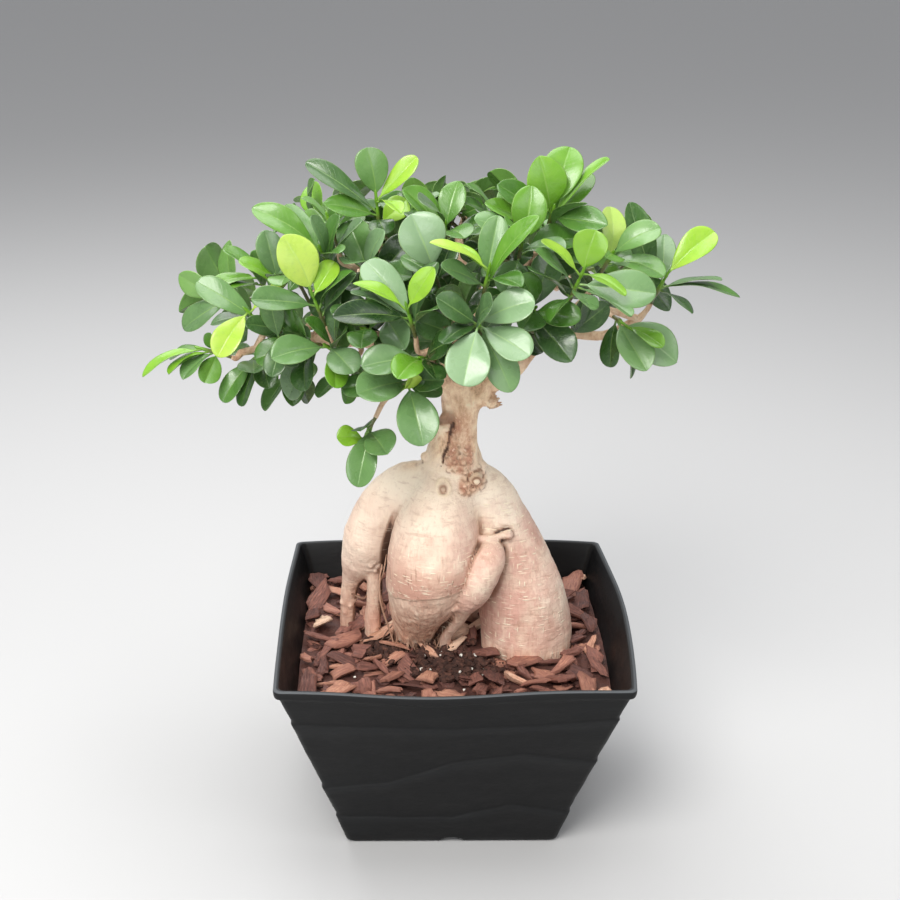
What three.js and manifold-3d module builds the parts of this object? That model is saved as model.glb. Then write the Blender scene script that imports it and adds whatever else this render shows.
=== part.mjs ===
// Potted Chinese banyan: a grafted fig with swollen roots in a square tapered pot.
// Units are millimetres. Origin: centre of the underside of the pot. +Z is up, -Y is the front.
import * as THREE from 'three';
import * as BufferGeometryUtils from 'three/addons/utils/BufferGeometryUtils.js';
import Module from 'manifold-3d';

// Driving dimensions
const RIM_WIDTH = 240;
const BASE_WIDTH = 150;
const POT_HEIGHT = 147;
const POT_WALL = 4;
const RIM_LIP = 3.5;
const RIM_DEPTH = 6;
const CORNER_RADIUS = 5;
// Bow of the front, right, back and left sides at the rim, and where each starts in its wave.
const SIDE_BOWS = [4, 6.5, 4, 2.5];
const RIM_PHASES = [2.2, 4.7, 1.4, 5.6];
const RIM_WAVE = 2.4;
// Below this height the inside of the rim has no wave.
const RIM_FADE = 125;
const POT_FLOOR = 6;
const FOOT_EDGE = 1.5;
const PER_SIDE = 4;
const GROOVE_RADIUS = 9;
const GROOVE_HEIGHT = 4.5;
const DRAIN_RADIUS = 6;
const DRAIN_OFFSET = 44;
const LEDGE_DEPTH = 1.2;
const LEDGE_STEP = 2;
// Height of each broken ledge at even places along a side.
const LEDGES = [[25, 24, 24, 37, 28], [54, 60, 80, 88, 79], [115, 114, 113, 115, 119]];
const SOIL_TOP = 108;
const BED_TOP = 119;
const GAP = 0.3;
const ROOT_BOTTOM = 100;
const HOLE_PLAY = 0.5;
const MOUND_FLAT = 0.6;
const LEAF_THICK = 1.6;
const STEM_RADIUS = 1.5;
const TWIG_RADIUS = 1.9;
const CHIP_COUNT = 44;
const BACK_SPRAYS = 8;
const RULED_LEAVES = 6;
const FORK_LEAVES = 5;
const FORK_CLEAR = 1.05;
const NARROW_LEAF = 12;
const LEAF_WIDTH = 16;
const YOUNG_WIDTH = 13;
const FACE_LIFT = 0.32;
const ROLL_SHARE = 0.9;
const GOLDEN = Math.PI * (3 - Math.sqrt(5));
// The front sprays are set out as seen from the front, from this angle above the horizontal.
const SIGHT_TILT = THREE.MathUtils.degToRad(21);

const wasm = await Module();
wasm.setup();

const V = (x, y, z) => new THREE.Vector3(x, y, z);
const lerp = THREE.MathUtils.lerp;

// Seeded draws, so that every build is the same.
function seeded(seed) {
  let state = seed >>> 0;
  return () => {
    state = (state + 0x6d2b79f5) >>> 0;
    let t = state;
    t = Math.imul(t ^ (t >>> 15), t | 1);
    t ^= t + Math.imul(t ^ (t >>> 7), t | 61);
    return ((t ^ (t >>> 14)) >>> 0) / 4294967296;
  };
}

// Closed solid from points and triangles.
function solidOf(points, triangles) {
  const vertProperties = new Float32Array(points.flatMap((p) => [p.x, p.y, p.z]));
  const triVerts = new Uint32Array(triangles.flat());
  const mesh = new wasm.Mesh({ numProp: 3, vertProperties, triVerts });
  return new wasm.Manifold(mesh);
}

// Rings of equal length joined in order, with a fan or a single point at each end.
function loft(rings) {
  const points = rings.flat();
  const triangles = [];
  const starts = [];
  let count = 0;
  for (const ring of rings) {
    starts.push(count);
    count += ring.length;
  }
  for (let k = 0; k + 1 < rings.length; k += 1) {
    const lower = rings[k].length;
    const upper = rings[k + 1].length;
    const sides = Math.max(lower, upper);
    for (let i = 0; i < sides; i += 1) {
      const a = starts[k] + (i % lower);
      const b = starts[k] + ((i + 1) % lower);
      const c = starts[k + 1] + (i % upper);
      const d = starts[k + 1] + ((i + 1) % upper);
      if (lower > 1 && i < lower) triangles.push([a, b, d]);
      if (upper > 1 && i < upper) triangles.push([a, d, c]);
    }
  }
  const cap = (start, size, flip) => {
    for (let i = 1; i + 1 < size; i += 1) {
      triangles.push(flip ? [start, start + i + 1, start + i] : [start, start + i, start + i + 1]);
    }
  };
  cap(0, rings[0].length, true);
  cap(starts[rings.length - 1], rings[rings.length - 1].length, false);
  return solidOf(points, triangles);
}

// Round bar along a smooth curve through [x, y, z, radius] stations.
function limb(stations, sides, steps, lumps = 0, seed = 1, grow = 0, flat = 1) {
  const curve = new THREE.CatmullRomCurve3(stations.map((s) => V(s[0], s[1], s[2])), false, 'centripetal');
  const draw = seeded(seed);
  const phase = [draw() * 6, draw() * 6, draw() * 6];
  const rings = [];
  const side = V(1, 0, 0);
  for (let k = 0; k <= steps; k += 1) {
    const t = k / steps;
    const centre = curve.getPoint(t);
    const along = curve.getTangent(t);
    side.addScaledVector(along, -side.dot(along)).normalize();
    const other = along.clone().cross(side);
    const at = t * (stations.length - 1);
    const low = Math.min(Math.floor(at), stations.length - 2);
    const radius = lerp(stations[low][3], stations[low + 1][3], at - low) + grow;
    const ring = [];
    for (let i = 0; i < sides; i += 1) {
      const angle = (i / sides) * Math.PI * 2;
      const wave = Math.sin(2 * angle + phase[0] + 3 * t) + Math.sin(3 * angle + phase[1] - 5 * t);
      const r = radius * (1 + lumps * (wave + Math.sin(9 * t + phase[2])));
      ring.push(centre.clone()
        .addScaledVector(side, r * Math.cos(angle))
        .addScaledVector(other, r * flat * Math.sin(angle)));
    }
    rings.push(ring);
  }
  return loft(rings);
}

const unite = (parts) => parts.reduce((sum, part) => sum.add(part));

// POT
// Plan outline of the pot: a square with round corners; its sides bow by a share of the bow at the rim.
function planRing(half, z, perSide, bowShare, lift) {
  const ring = [];
  const corners = [[1, -1], [1, 1], [-1, 1], [-1, -1]];
  const radius = Math.min(CORNER_RADIUS, half * 0.3);
  for (let s = 0; s < 4; s += 1) {
    const [ax, ay] = corners[(s + 3) % 4];
    const [bx, by] = corners[s];
    for (let i = 0; i <= perSide; i += 1) {
      const t = i / perSide;
      const reach = half - radius;
      const x = lerp(ax, bx, t) * reach;
      const y = lerp(ay, by, t) * reach;
      const nx = (by - ay) / 2;
      const ny = (ax - bx) / 2;
      const out = radius + SIDE_BOWS[s] * bowShare * (1 - (2 * t - 1) ** 2);
      const p = V(x + nx * out, y + ny * out, z);
      if (lift) lift(p, s, t);
      ring.push(p);
    }
    const corner = V(bx * (half - radius * 0.29), by * (half - radius * 0.29), z);
    if (lift) lift(corner, s, 1);
    ring.push(corner);
  }
  return ring;
}

const halfAt = (z) => lerp(BASE_WIDTH, RIM_WIDTH, z / POT_HEIGHT) / 2;

function rimWave(p, s, t) {
  p.z += RIM_WAVE * Math.sin(Math.PI * t) * Math.sin(2 * Math.PI * t + RIM_PHASES[s]);
}

// The ledges run round the outside like the broken edges of slate, to and fro from side to side.
function ledgeAt(row, s, t) {
  const at = (s % 2 === 0 ? t : 1 - t) * (row.length - 1);
  const low = Math.min(Math.floor(at), row.length - 2);
  return lerp(row[low], row[low + 1], at - low);
}

function ledgeRing(row, above, inset) {
  return planRing(halfAt(row[0]) - inset, row[0], PER_SIDE, row[0] / POT_HEIGHT, (p, s, t) => {
    const z = ledgeAt(row, s, t) + above;
    const factor = halfAt(z) / halfAt(p.z);
    p.set(p.x * factor, p.y * factor, z);
  });
}

function buildPot() {
  const rim = (inset, drop) => planRing(halfAt(POT_HEIGHT) - inset, POT_HEIGHT - drop, PER_SIDE, 1, rimWave);
  const outer = [planRing(halfAt(0) - FOOT_EDGE, 0, PER_SIDE, 0), planRing(halfAt(2), 2, PER_SIDE, 0)];
  for (const row of LEDGES) outer.push(ledgeRing(row, 0, 0.2), ledgeRing(row, LEDGE_STEP, LEDGE_DEPTH));
  outer.push(rim(2.4, RIM_DEPTH), rim(-0.2, 1.5), rim(1.4, 0), rim(RIM_LIP, 0.6));
  outer.push(planRing(halfAt(RIM_FADE) - POT_WALL - 0.6, RIM_FADE, PER_SIDE, 0.8));
  outer.push(planRing(halfAt(POT_FLOOR) - POT_WALL, POT_FLOOR, PER_SIDE, 0));
  let pot = loft(outer);
  for (let s = 0; s < 4; s += 1) {
    const angle = s * Math.PI / 2;
    const toward = V(Math.cos(angle), Math.sin(angle), 0);
    const across = V(-toward.y, toward.x, 0);
    const arch = (far) => {
      const ringPoints = [];
      for (let i = 0; i <= 8; i += 1) {
        const a = Math.PI * i / 8;
        ringPoints.push(toward.clone().multiplyScalar(far)
          .addScaledVector(across, GROOVE_RADIUS * Math.cos(a))
          .add(V(0, 0, GROOVE_HEIGHT * Math.sin(a))));
      }
      ringPoints.push(toward.clone().multiplyScalar(far).addScaledVector(across, -GROOVE_RADIUS).add(V(0, 0, -3)));
      ringPoints.push(toward.clone().multiplyScalar(far).addScaledVector(across, GROOVE_RADIUS).add(V(0, 0, -3)));
      return ringPoints;
    };
    pot = pot.subtract(loft([arch(DRAIN_OFFSET), arch(BASE_WIDTH / 2 + 5)]));
    const centre = toward.clone().multiplyScalar(DRAIN_OFFSET);
    const hole = [[centre.x, centre.y, -3, DRAIN_RADIUS], [centre.x, centre.y, POT_FLOOR + 4, DRAIN_RADIUS]];
    pot = pot.subtract(limb(hole, 12, 1));
  }
  return pot;
}

// TREE WOOD
// Each row is a grown member: stations of x, y, z and radius.
const TUBERS = [
  { stations: [[6, 2, 252, 14], [22, 3, 238, 18.5], [32, 5, 217, 21.5], [42, 6, 187, 27], [50, 6, 157, 32],
    [55, 6, 129, 33.5], [55, 6, 114, 32.5], [55, 6, ROOT_BOTTOM, 30]], sides: 14, steps: 8, lumps: 0.012 },
  { stations: [[-3, -3, 256, 15], [-8, -11, 238, 23], [-12, -17, 215, 30], [-14, -18, 196, 32], [-17, -13, 176, 30],
    [-22, -4, 156, 24], [-24, 6, 138, 20], [-25, 11, 122, 17], [-25, 11, ROOT_BOTTOM, 15]],
    sides: 13, steps: 10, lumps: 0.012 },
  { stations: [[-8, 0, 246, 16], [-31, 4, 240, 19.5], [-47, 10, 222, 21.5], [-57.5, 15, 199, 20.5],
    [-63.5, 20, 181, 16.5], [-70, 23, 167, 9.5], [-74, 25, 155, 6.2], [-76, 27, 141, 5.8], [-77, 30, 121, 5.6],
    [-77, 31, ROOT_BOTTOM, 5]], sides: 10, steps: 10, lumps: 0.015 },
  { stations: [[-57, 10, 183, 6.5], [-56, 12, 167, 5.8], [-56.5, 16, 147, 5.6], [-57.5, 20, 125, 5.8],
    [-57.5, 21, ROOT_BOTTOM, 5.2]], sides: 7, steps: 4, lumps: 0.02 },
  { stations: [[22, -12, 217, 9], [26.5, -25, 211, 10], [24.5, -29, 204, 12], [21.5, -30.5, 196, 13],
    [18, -30.5, 188, 13.3], [14.8, -29, 179, 12.9], [10.8, -26.5, 170, 10.8], [7.5, -23.5, 162, 8],
    [5.5, -20, 153.5, 6], [1.5, -15, 143, 5.3], [-4, -9, 131, 4.4], [-5, -6, 121, 4], [-5, -5, ROOT_BOTTOM, 3.6]],
    sides: 9, steps: 12, lumps: 0.015 },
  { stations: [[7, -26, 167, 5], [2.3, -30, 165.5, 4], [-4.7, -31, 162.5, 3], [-10.3, -31.5, 159, 2.4],
    [-14.5, -32, 155.5, 1.4]], sides: 6, steps: 4, lumps: 0.02 },
  { stations: [[6, 14, 244, 16], [8, 34, 214, 20], [12, 46, 176, 21], [16, 52, 140, 19], [17, 54, 120, 15],
    [17, 54, ROOT_BOTTOM, 11]], sides: 10, steps: 6, lumps: 0.015 },
  { stations: [[0, 3, 218, 20], [0, 3, 236, 25], [0, 1, 252, 24], [0, 0, 260, 21.5], [-0.5, 0.5, 268, 18.5],
    [0, 1, 275, 15.5], [1.5, 1.5, 282, 12.8], [2.5, 1.5, 290, 11.8], [3.6, 1.5, 299, 12.2], [5, 1, 308, 14],
    [6, 1, 322, 14.5], [6, 2, 336, 10]], sides: 12, steps: 11, lumps: 0.02 },
  { stations: [[-13, -9, 252, 7], [-9.6, -8.5, 263, 6.4], [-7.6, -8.5, 273, 6], [-6.2, -8, 283, 5.6],
    [-5.8, -7.5, 291, 5.4], [-5.4, -7, 297, 5]], sides: 7, steps: 5, lumps: 0.02 },
  { stations: [[4, -11, 256, 9], [6, -9.5, 266, 8.8], [7.4, -8.5, 275, 8.2], [7.8, -8, 286, 7.8], [8, -8, 296, 7.8],
    [9.5, -8, 305, 8], [14, -8.5, 311, 7.4], [19, -9.5, 313, 6.2], [25, -11, 311, 4.6]],
    sides: 8, steps: 8, lumps: 0.02 },
];
const SCARS = [
  { stations: [[15.2, -14, 257, 4.8], [15.6, -21.5, 257, 3.8]], sides: 8, steps: 1 },
  { stations: [[-7, -18, 254, 4.8], [-7.4, -26.5, 253.5, 3.8]], sides: 8, steps: 1 },
  { stations: [[22, -12, 213, 3.2], [30.6, -19, 215, 2.4], [38, -19.5, 216, 3]], sides: 6, steps: 2 },
  { stations: [[-14, -3, 266, 6], [-20, -3, 267.5, 3.4]], sides: 7, steps: 1 },
  { stations: [[13, -3, 261, 6], [19.5, -6, 261.5, 4]], sides: 7, steps: 1 },
];
const BOUGHS = [
  [[2, -2, 318, 10], [-24, -12, 340, 6], [-56, -24, 358, 4.8], [-92, -36, 364, 3.8], [-116, -42, 364, 3]],
  [[-56, -24, 358, 4.2], [-90, -8, 352, 3.6], [-124, 4, 346, 3], [-146, 6, 340, 2.6]],
  [[14, -2, 316, 8], [38, -16, 332, 4.6], [50, -26, 350, 3.6], [62, -54, 376, 2.8]],
  [[16, 0, 320, 8], [44, -4, 343, 4.8], [72, -4, 357, 4], [100, -10, 358, 3.4], [122, -18, 372, 2.8]],
  [[6, 2, 326, 8.5], [2, 6, 358, 5.4], [-14, 4, 388, 4.2], [-34, -6, 410, 3.2]],
  [[4, 4, 344, 5.6], [26, 2, 376, 4.2], [44, -14, 404, 3.4], [50, -26, 418, 2.8]],
  [[4, -6, 324, 7], [-2, -34, 348, 4.6], [-2, -62, 368, 3.8], [4, -80, 384, 3]],
  [[8, 8, 322, 8], [12, 44, 352, 5], [18, 78, 372, 4], [24, 100, 380, 3]],
  [[10, 36, 346, 4.6], [-26, 60, 366, 3.8], [-66, 70, 370, 3.2], [-98, 66, 366, 2.6]],
  [[14, 50, 356, 4.6], [52, 56, 372, 3.6], [92, 50, 376, 3], [118, 40, 374, 2.6]],
  [[4, 6, 356, 5], [6, 34, 388, 4], [4, 56, 408, 3.2], [8, 70, 420, 2.6]],
];

const boughLines = BOUGHS.map((rows) => new THREE.CatmullRomCurve3(rows.map((s) => V(s[0], s[1], s[2])), false,
  'centripetal'));

// A twig leaves the nearest bough and arrives along the line of its spray.
function twigTo(base, along) {
  let best = null;
  boughLines.forEach((line, index) => {
    for (let k = 2; k <= 12; k += 1) {
      const p = line.getPoint(k / 12);
      const d = p.distanceTo(base) + Math.max(0, p.z - base.z) * 0.8;
      if (!best || d < best.d) best = { d, p, index, k };
    }
  });
  const reach = best.p.distanceTo(base);
  const bend = base.clone().addScaledVector(along, -Math.min(reach * 0.4, 14));
  return [[best.p.x, best.p.y, best.p.z, TWIG_RADIUS + 0.9], [bend.x, bend.y, bend.z, TWIG_RADIUS + 0.1],
    [base.x, base.y, base.z, STEM_RADIUS + 0.2]];
}

// LEAVES AND SPRAYS
// Outline of a blade: share of the length, then share of the half width.
const BLADE = [[0.15, 0.1], [0.42, 0.78], [0.72, 1], [0.93, 0.6]];
const BLADE_PLAIN = [[0.42, 0.84], [0.82, 0.92]];

// Sections of one leaf, each as underside, left edge, top and right edge, ending in the tip.
function leafRings(foot, leaf, aim, grow = 0) {
  const length = aim.length() + grow;
  const ahead = aim.clone().normalize();
  const across = ahead.clone().cross(leaf.face).normalize();
  const up = across.clone().cross(ahead);
  const at = (s, w, h) => foot.clone()
    .addScaledVector(ahead, s * length)
    .addScaledVector(across, w)
    .addScaledVector(up, h + leaf.arch * length * Math.sin(Math.PI * s) * 0.5);
  const thick = LEAF_THICK / 2 + grow;
  const rings = (leaf.plain ? BLADE_PLAIN : BLADE).map(([s, w]) => {
    const half = Math.max(leaf.width * 0.5 * w, 1) + grow;
    const fold = half * 0.22;
    return [at(s, 0, -thick), at(s, -half, fold), at(s, 0, thick), at(s, half, fold)];
  });
  rings.push([at(1, 0, 0)]);
  return rings;
}

// Side faces from ring to ring, with the diagonals alike on the upper and the lower face.
function strip(triangles, from, to) {
  for (let i = 0; i < 4; i += 1) {
    const a = from[i];
    const b = from[(i + 1) % 4];
    if (to.length === 1) {
      triangles.push([a, b, to[0]]);
      continue;
    }
    const c = to[i];
    const d = to[(i + 1) % 4];
    if (i % 2 === 0) triangles.push([a, b, d], [a, d, c]);
    else triangles.push([a, b, c], [b, d, c]);
  }
}

// A leaf on its own, closed at the foot, to try for room.
function looseLeaf(foot, leaf, aim, grow, whole) {
  const rings = leafRings(foot, leaf, aim, grow);
  if (whole) {
    const first = rings[0];
    const centre = first[0].clone().add(first[2]).multiplyScalar(0.5);
    rings.unshift(first.map((p) => p.clone().sub(centre).multiplyScalar(0.9).add(foot)));
  }
  const points = rings.flat();
  const triangles = [[0, 2, 1], [0, 3, 2]];
  for (let k = 0; k + 1 < rings.length; k += 1) {
    const from = [0, 1, 2, 3].map((i) => k * 4 + i);
    strip(triangles, from, rings[k + 1].map((_, i) => k * 4 + 4 + i));
  }
  return solidOf(points, triangles);
}

// Four-sided stem; the leaf rings grow out of its side faces.
class Stem {
  constructor(start, end, radiusStart, radiusEnd, slots) {
    this.start = start;
    this.end = end;
    this.along = end.clone().sub(start).normalize();
    this.side = this.along.clone().cross(V(0, -1, 0.2)).normalize();
    this.other = this.along.clone().cross(this.side);
    this.radii = [radiusStart, radiusEnd];
    this.slots = slots;
    this.leaves = [];
  }

  share(slot) {
    const low = Math.min(0.5, 3 / this.start.distanceTo(this.end));
    return lerp(low, 1, slot / this.slots);
  }

  corner(share, i, grow = 0) {
    const angle = (i + 0.5) * Math.PI / 2;
    const r = lerp(this.radii[0], this.radii[1], share) + grow;
    return this.start.clone().lerp(this.end, share)
      .addScaledVector(this.side, r * Math.cos(angle))
      .addScaledVector(this.other, r * Math.sin(angle));
  }

  // Side face that looks most toward the leaf.
  faceFor(aim) {
    const x = aim.dot(this.side);
    const y = aim.dot(this.other);
    return (Math.round(Math.atan2(y, x) / (Math.PI / 2)) + 3) % 4;
  }

  foot(slot, aim) {
    const i = this.faceFor(aim);
    const low = this.share(slot);
    const high = this.share(slot + 1);
    return this.corner(low, i).add(this.corner(low, i + 1))
      .add(this.corner(high, i)).add(this.corner(high, i + 1)).multiplyScalar(0.25);
  }

  bare(grow) {
    const rings = [0, 1].map((share) => [0, 1, 2, 3].map((i) => this.corner(share, i, grow)));
    return loft(rings);
  }

  solid() {
    const points = [];
    const triangles = [];
    const levels = [0];
    for (let k = 0; k <= this.slots; k += 1) levels.push(this.share(k));
    const rows = levels.map((share) => [0, 1, 2, 3].map((i) => points.push(this.corner(share, i)) - 1));
    triangles.push([rows[0][0], rows[0][2], rows[0][1]], [rows[0][0], rows[0][3], rows[0][2]]);
    for (let k = 0; k + 1 < rows.length; k += 1) {
      const leaf = this.leaves.find((l) => l.slot === k - 1);
      const open = leaf ? this.faceFor(leaf.aim) : -1;
      for (let i = 0; i < 4; i += 1) {
        const a = rows[k][i];
        const b = rows[k][(i + 1) % 4];
        const c = rows[k + 1][i];
        const d = rows[k + 1][(i + 1) % 4];
        if (i !== open) {
          triangles.push([a, b, d], [a, d, c]);
          continue;
        }
        let from = [a, b, d, c];
        for (const ring of leafRings(this.foot(leaf.slot, leaf.aim), leaf, leaf.aim)) {
          const to = ring.map((p) => points.push(p) - 1);
          strip(triangles, from, to);
          from = to;
        }
      }
    }
    const last = rows[rows.length - 1];
    triangles.push([last[0], last[1], last[2]], [last[0], last[2], last[3]]);
    return solidOf(points, triangles);
  }
}

const dark = 0;
const mid = 1;
const young = 2;
// Front sprays: base and tip of the stem, then leaves by the place of the tip as seen from the front:
// across, up, toward the front, width, kind.
const FRONT = [
  { name: 'top_left', base: [-50, -24, 430], tip: [-52, -30, 454], leaves: [
    [-6, 31, 12, 20, young], [26, 26, 8, 13, young], [16, -12, 22, 10, young], [-45, 23, 4, 15, mid],
    [-33, -4, 8, 16, dark], [6, -24, 14, 16, dark], [22, 2, -14, 16, dark]] },
  { name: 'top_middle', base: [-25, -6, 424], tip: [-27, -10, 445], leaves: [
    [16, 9, 0, 9, mid], [-7, 16, 5, 14, dark], [-24, 6, -8, 16, dark], [27, 0, 5, 16, dark], [4, -12, 24, 18, dark]] },
  { name: 'upper_left', base: [-80, -44, 408], tip: [-87, -55, 428], leaves: [
    [-42, 24, 10, 17, mid], [-24, 28, -8, 15, mid], [-10, 18, 18, 13, dark], [9, 19, 12, 13, dark],
    [27, 16, 14, 12, dark], [13, -6, 26, 15, dark]] },
  { name: 'left_shoulder', base: [-78, -14, 420], tip: [-84, -18, 440], leaves: [
    [-17, 12, 0, 9, mid], [22, 6, -12, 16, dark], [8, -8, 22, 16, dark], [-20, 2, -20, 15, dark]] },
  { name: 'left_yellow', base: [-84, -70, 382], tip: [-91, -80, 405], leaves: [
    [-17, 35, 14, 25, young], [14, 21, -4, 14, young], [-37, -4, 10, 17, dark], [19, 28, 4, 12, dark],
    [22, 16, 10, 10, dark], [5, 25, 14, 12, dark]] },
  { name: 'left_blue', base: [-110, -24, 380], tip: [-117, -30, 402], leaves: [
    [-7, 30, 10, 17, dark], [-18, 14, 14, 13, dark], [22, 12, -14, 15, dark], [-8, -8, 24, 14, dark]] },
  { name: 'left_outer', base: [-123, -45, 372], tip: [-133, -50, 384], leaves: [
    [-35, 15, 10, 18, mid], [-19, -29, 14, 18, young], [23, 21, 4, 10, young], [19, 7, 12, 12, mid],
    [-26, -6, -8, 12, dark]] },
  { name: 'far_left', base: [-152, 2, 338], tip: [-173, 0, 345], leaves: [
    [-38, -20, 4, 11, mid], [-21, -15, 10, 10, mid], [-10, -22, 10, 12, dark], [4, -24, 8, 13, dark],
    [-22, -6, -16, 12, dark], [8, 10, 8, 15, dark]] },
  { name: 'left_upper_back', base: [-122, -4, 378], tip: [-131, -10, 398], leaves: [
    [-23, 18, 0, 11, dark], [-21, 3, 14, 14, mid], [-30, -7, 6, 13, mid], [-18, -12, 18, 12, dark],
    [-3, 14, 18, 13, dark], [16, 12, -16, 14, dark]] },
  { name: 'left_low', base: [-126, 10, 342], tip: [-139, 10, 333], leaves: [
    [4, -10, 26, 21, dark], [13, -20, 14, 16, dark], [-19, -29, 8, 15, dark], [-6, -32, 10, 12, dark],
    [-22, 6, -14, 14, dark]] },
  { name: 'left_low_inner', base: [-106, 16, 336], tip: [-114, 20, 320], leaves: [
    [-17, -26, 6, 12, dark], [3, -23, 14, 15, dark], [16, -4, 14, 14, dark], [12, -20, -12, 14, dark]] },
  { name: 'left_centre', base: [-74, -68, 362], tip: [-83, -80, 372], leaves: [
    [-33, -9, 16, 20, dark], [13, 8, 16, 13, mid], [16, 29, 10, 13, dark], [18, -18, 16, 20, dark],
    [6, -27, 10, 13, mid], [-12, 14, 20, 13, dark]] },
  { name: 'left_hem', base: [-66, -44, 352], tip: [-74, -54, 343], leaves: [
    [2, -18, 6, 9, mid], [-16, -14, 8, 13, mid], [20, -4, 10, 14, dark]] },
  { name: 'centre_left', base: [-27, -94, 382], tip: [-32, -105, 403], leaves: [
    [-33, 15, 6, 10, young], [16, 24, 14, 14, young], [-31, 5, 14, 12, mid], [15, 31, -6, 13, dark],
    [20, 0, 16, 11, mid], [-45, -6, 16, 17, dark], [-26, 30, -10, 21, dark]] },
  { name: 'centre_round', base: [-28, -82, 352], tip: [-35, -95, 349], leaves: [
    [0, 14, 12, 9, young], [-28, -4, 16, 24, dark], [13, -36, 10, 25, dark], [25, -3, -2, 15, dark],
    [-38, 6, -2, 16, mid], [24, 8, 14, 17, dark]] },
  { name: 'centre_inner', base: [-18, -88, 366], tip: [-24, -104, 372], leaves: [
    [-36, -6, 8, 20, dark], [-14, -14, 20, 19, dark], [20, 8, 16, 18, dark], [8, -16, 22, 13, dark]] },
  { name: 'centre_shade', base: [-52, -66, 376], tip: [-60, -82, 384], leaves: [
    [0, -14, 24, 18, dark], [-20, 8, 16, 14, dark], [14, 18, 10, 14, dark]] },
  { name: 'hanging', base: [-53, -55, 315], tip: [-60, -60, 303], leaves: [
    [-12, 10, 10, 14, dark], [-18, 0, 8, 14, young], [17, -12, 18, 21, dark], [-5, -32, 10, 19, dark],
    [-2, 4, 22, 11, dark]] },
  { name: 'middle_yellow', base: [14, -88, 404], tip: [17, -100, 426], leaves: [
    [-36, 15, 14, 10, young], [-24, 18, 0, 10, young], [-5, 33, 4, 18, dark], [30, 35, 6, 13, mid],
    [19, 10, 16, 12, mid], [-29, 0, 18, 16, dark], [18, -8, 20, 14, dark]] },
  { name: 'middle_sheen', base: [-11, -70, 404], tip: [-16, -84, 422], leaves: [
    [-14, 33, 10, 29, dark], [12, 20, -10, 15, dark], [-20, 10, -12, 15, dark]] },
  { name: 'top_right', base: [55, -38, 428], tip: [60, -45, 452], leaves: [
    [-10, 31, 14, 25, mid], [11, 40, -4, 24, mid], [35, 31, 6, 11, mid], [26, 25, -14, 17, mid],
    [-36, 14, 8, 17, mid], [-44, 2, 10, 15, mid], [23, -2, 18, 10, mid], [33, -12, 12, 20, dark]] },
  { name: 'top_inner', base: [24, -12, 428], tip: [24, -18, 447], leaves: [
    [-18, 15, 0, 9, mid], [-22, 2, 12, 14, dark], [16, 12, -16, 15, dark], [-4, 4, -28, 16, dark]] },
  { name: 'right_bright', base: [68, -77, 398], tip: [75, -90, 422], leaves: [
    [7, 25, 12, 21, young], [-26, 19, 8, 10, young], [25, -15, 14, 10, young], [-30, 12, 14, 13, mid],
    [18, -17, 22, 12, mid], [46, -12, -2, 26, dark], [-34, 1, 14, 12, mid], [34, -20, 8, 10, dark],
    [-20, -30, 6, 9, dark]] },
  { name: 'right_outer', base: [128, -28, 386], tip: [135, -40, 407], leaves: [
    [-25, 47, 6, 19, mid], [31, 29, 2, 19, young], [49, -13, -4, 11, mid], [1, 31, -14, 15, dark],
    [16, 11, 20, 15, dark], [34, 3, 2, 15, dark], [33, -12, 10, 9, dark], [17, -24, 0, 10, dark],
    [-27, 12, 10, 11, dark]] },
  { name: 'right_low', base: [102, -40, 380], tip: [109, -50, 377], leaves: [
    [39, -10, 8, 26, dark], [22, -15, 16, 12, young], [12, -30, 12, 22, dark], [-9, -27, -6, 13, dark],
    [23, -24, -10, 9, dark]] },
  { name: 'centre_rosette', base: [10, -100, 392], tip: [11, -118, 397], leaves: [
    [-10, -37, 12, 26, dark], [30, -19, 12, 21, dark], [33, 14, 10, 21, dark], [-6, -6, 22, 15, dark],
    [7, 10, 24, 22, dark], [20, -40, -4, 20, dark], [-22, -12, 12, 13, dark], [-26, 16, 8, 17, dark]] },
];

const sightUp = V(0, Math.sin(SIGHT_TILT), Math.cos(SIGHT_TILT));
const sightOut = V(0, -Math.cos(SIGHT_TILT), Math.sin(SIGHT_TILT));

// Sprays between the front ones: tip of the stem and the way it points.
const INNER = [
  { tip: [-58, -48, 412], along: [-0.2, -0.5, 0.8] },
  { tip: [-8, -40, 440], along: [0, -0.4, 0.9] },
  { tip: [40, -62, 436], along: [0.1, -0.5, 0.85] },
  { tip: [-104, -44, 408], along: [-0.3, -0.4, 0.8] },
  { tip: [98, -50, 424], along: [0.3, -0.5, 0.8] },
  { tip: [48, -76, 396], along: [0.2, -0.8, 0.5] },
  { tip: [-48, -74, 392], along: [-0.2, -0.8, 0.5] },
  { tip: [-96, -58, 366], along: [-0.5, -0.6, 0.2] },
  { tip: [-34, 30, 428], along: [-0.15, 0.15, 0.95], forked: true },
  { tip: [36, 24, 430], along: [0.2, 0.1, 0.95], forked: true },
  { tip: [4, 76, 420], along: [0, 0.35, 0.9], forked: true },
];

// A forked stem parts to both sides of its line.
function forkWays(along, draw) {
  const level = V(0, 0, 1).cross(along).normalize();
  return [-1, 1].map((way) => {
    const turnBy = THREE.MathUtils.degToRad(way * (30 + draw() * 10));
    const axis = level.clone().cross(along).lerp(level, 0.3 * way).normalize();
    return along.clone().applyAxisAngle(axis, turnBy);
  });
}

function innerSprays() {
  const draw = seeded(55);
  return INNER.map((row, k) => {
    const along = V(...row.along).normalize();
    const base = V(...row.tip).addScaledVector(along, -24);
    return { name: `inner_${k + 1}`, base, along, forks: row.forked && forkWays(along, draw), seed: 700 + k * 13 };
  });
}

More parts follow.
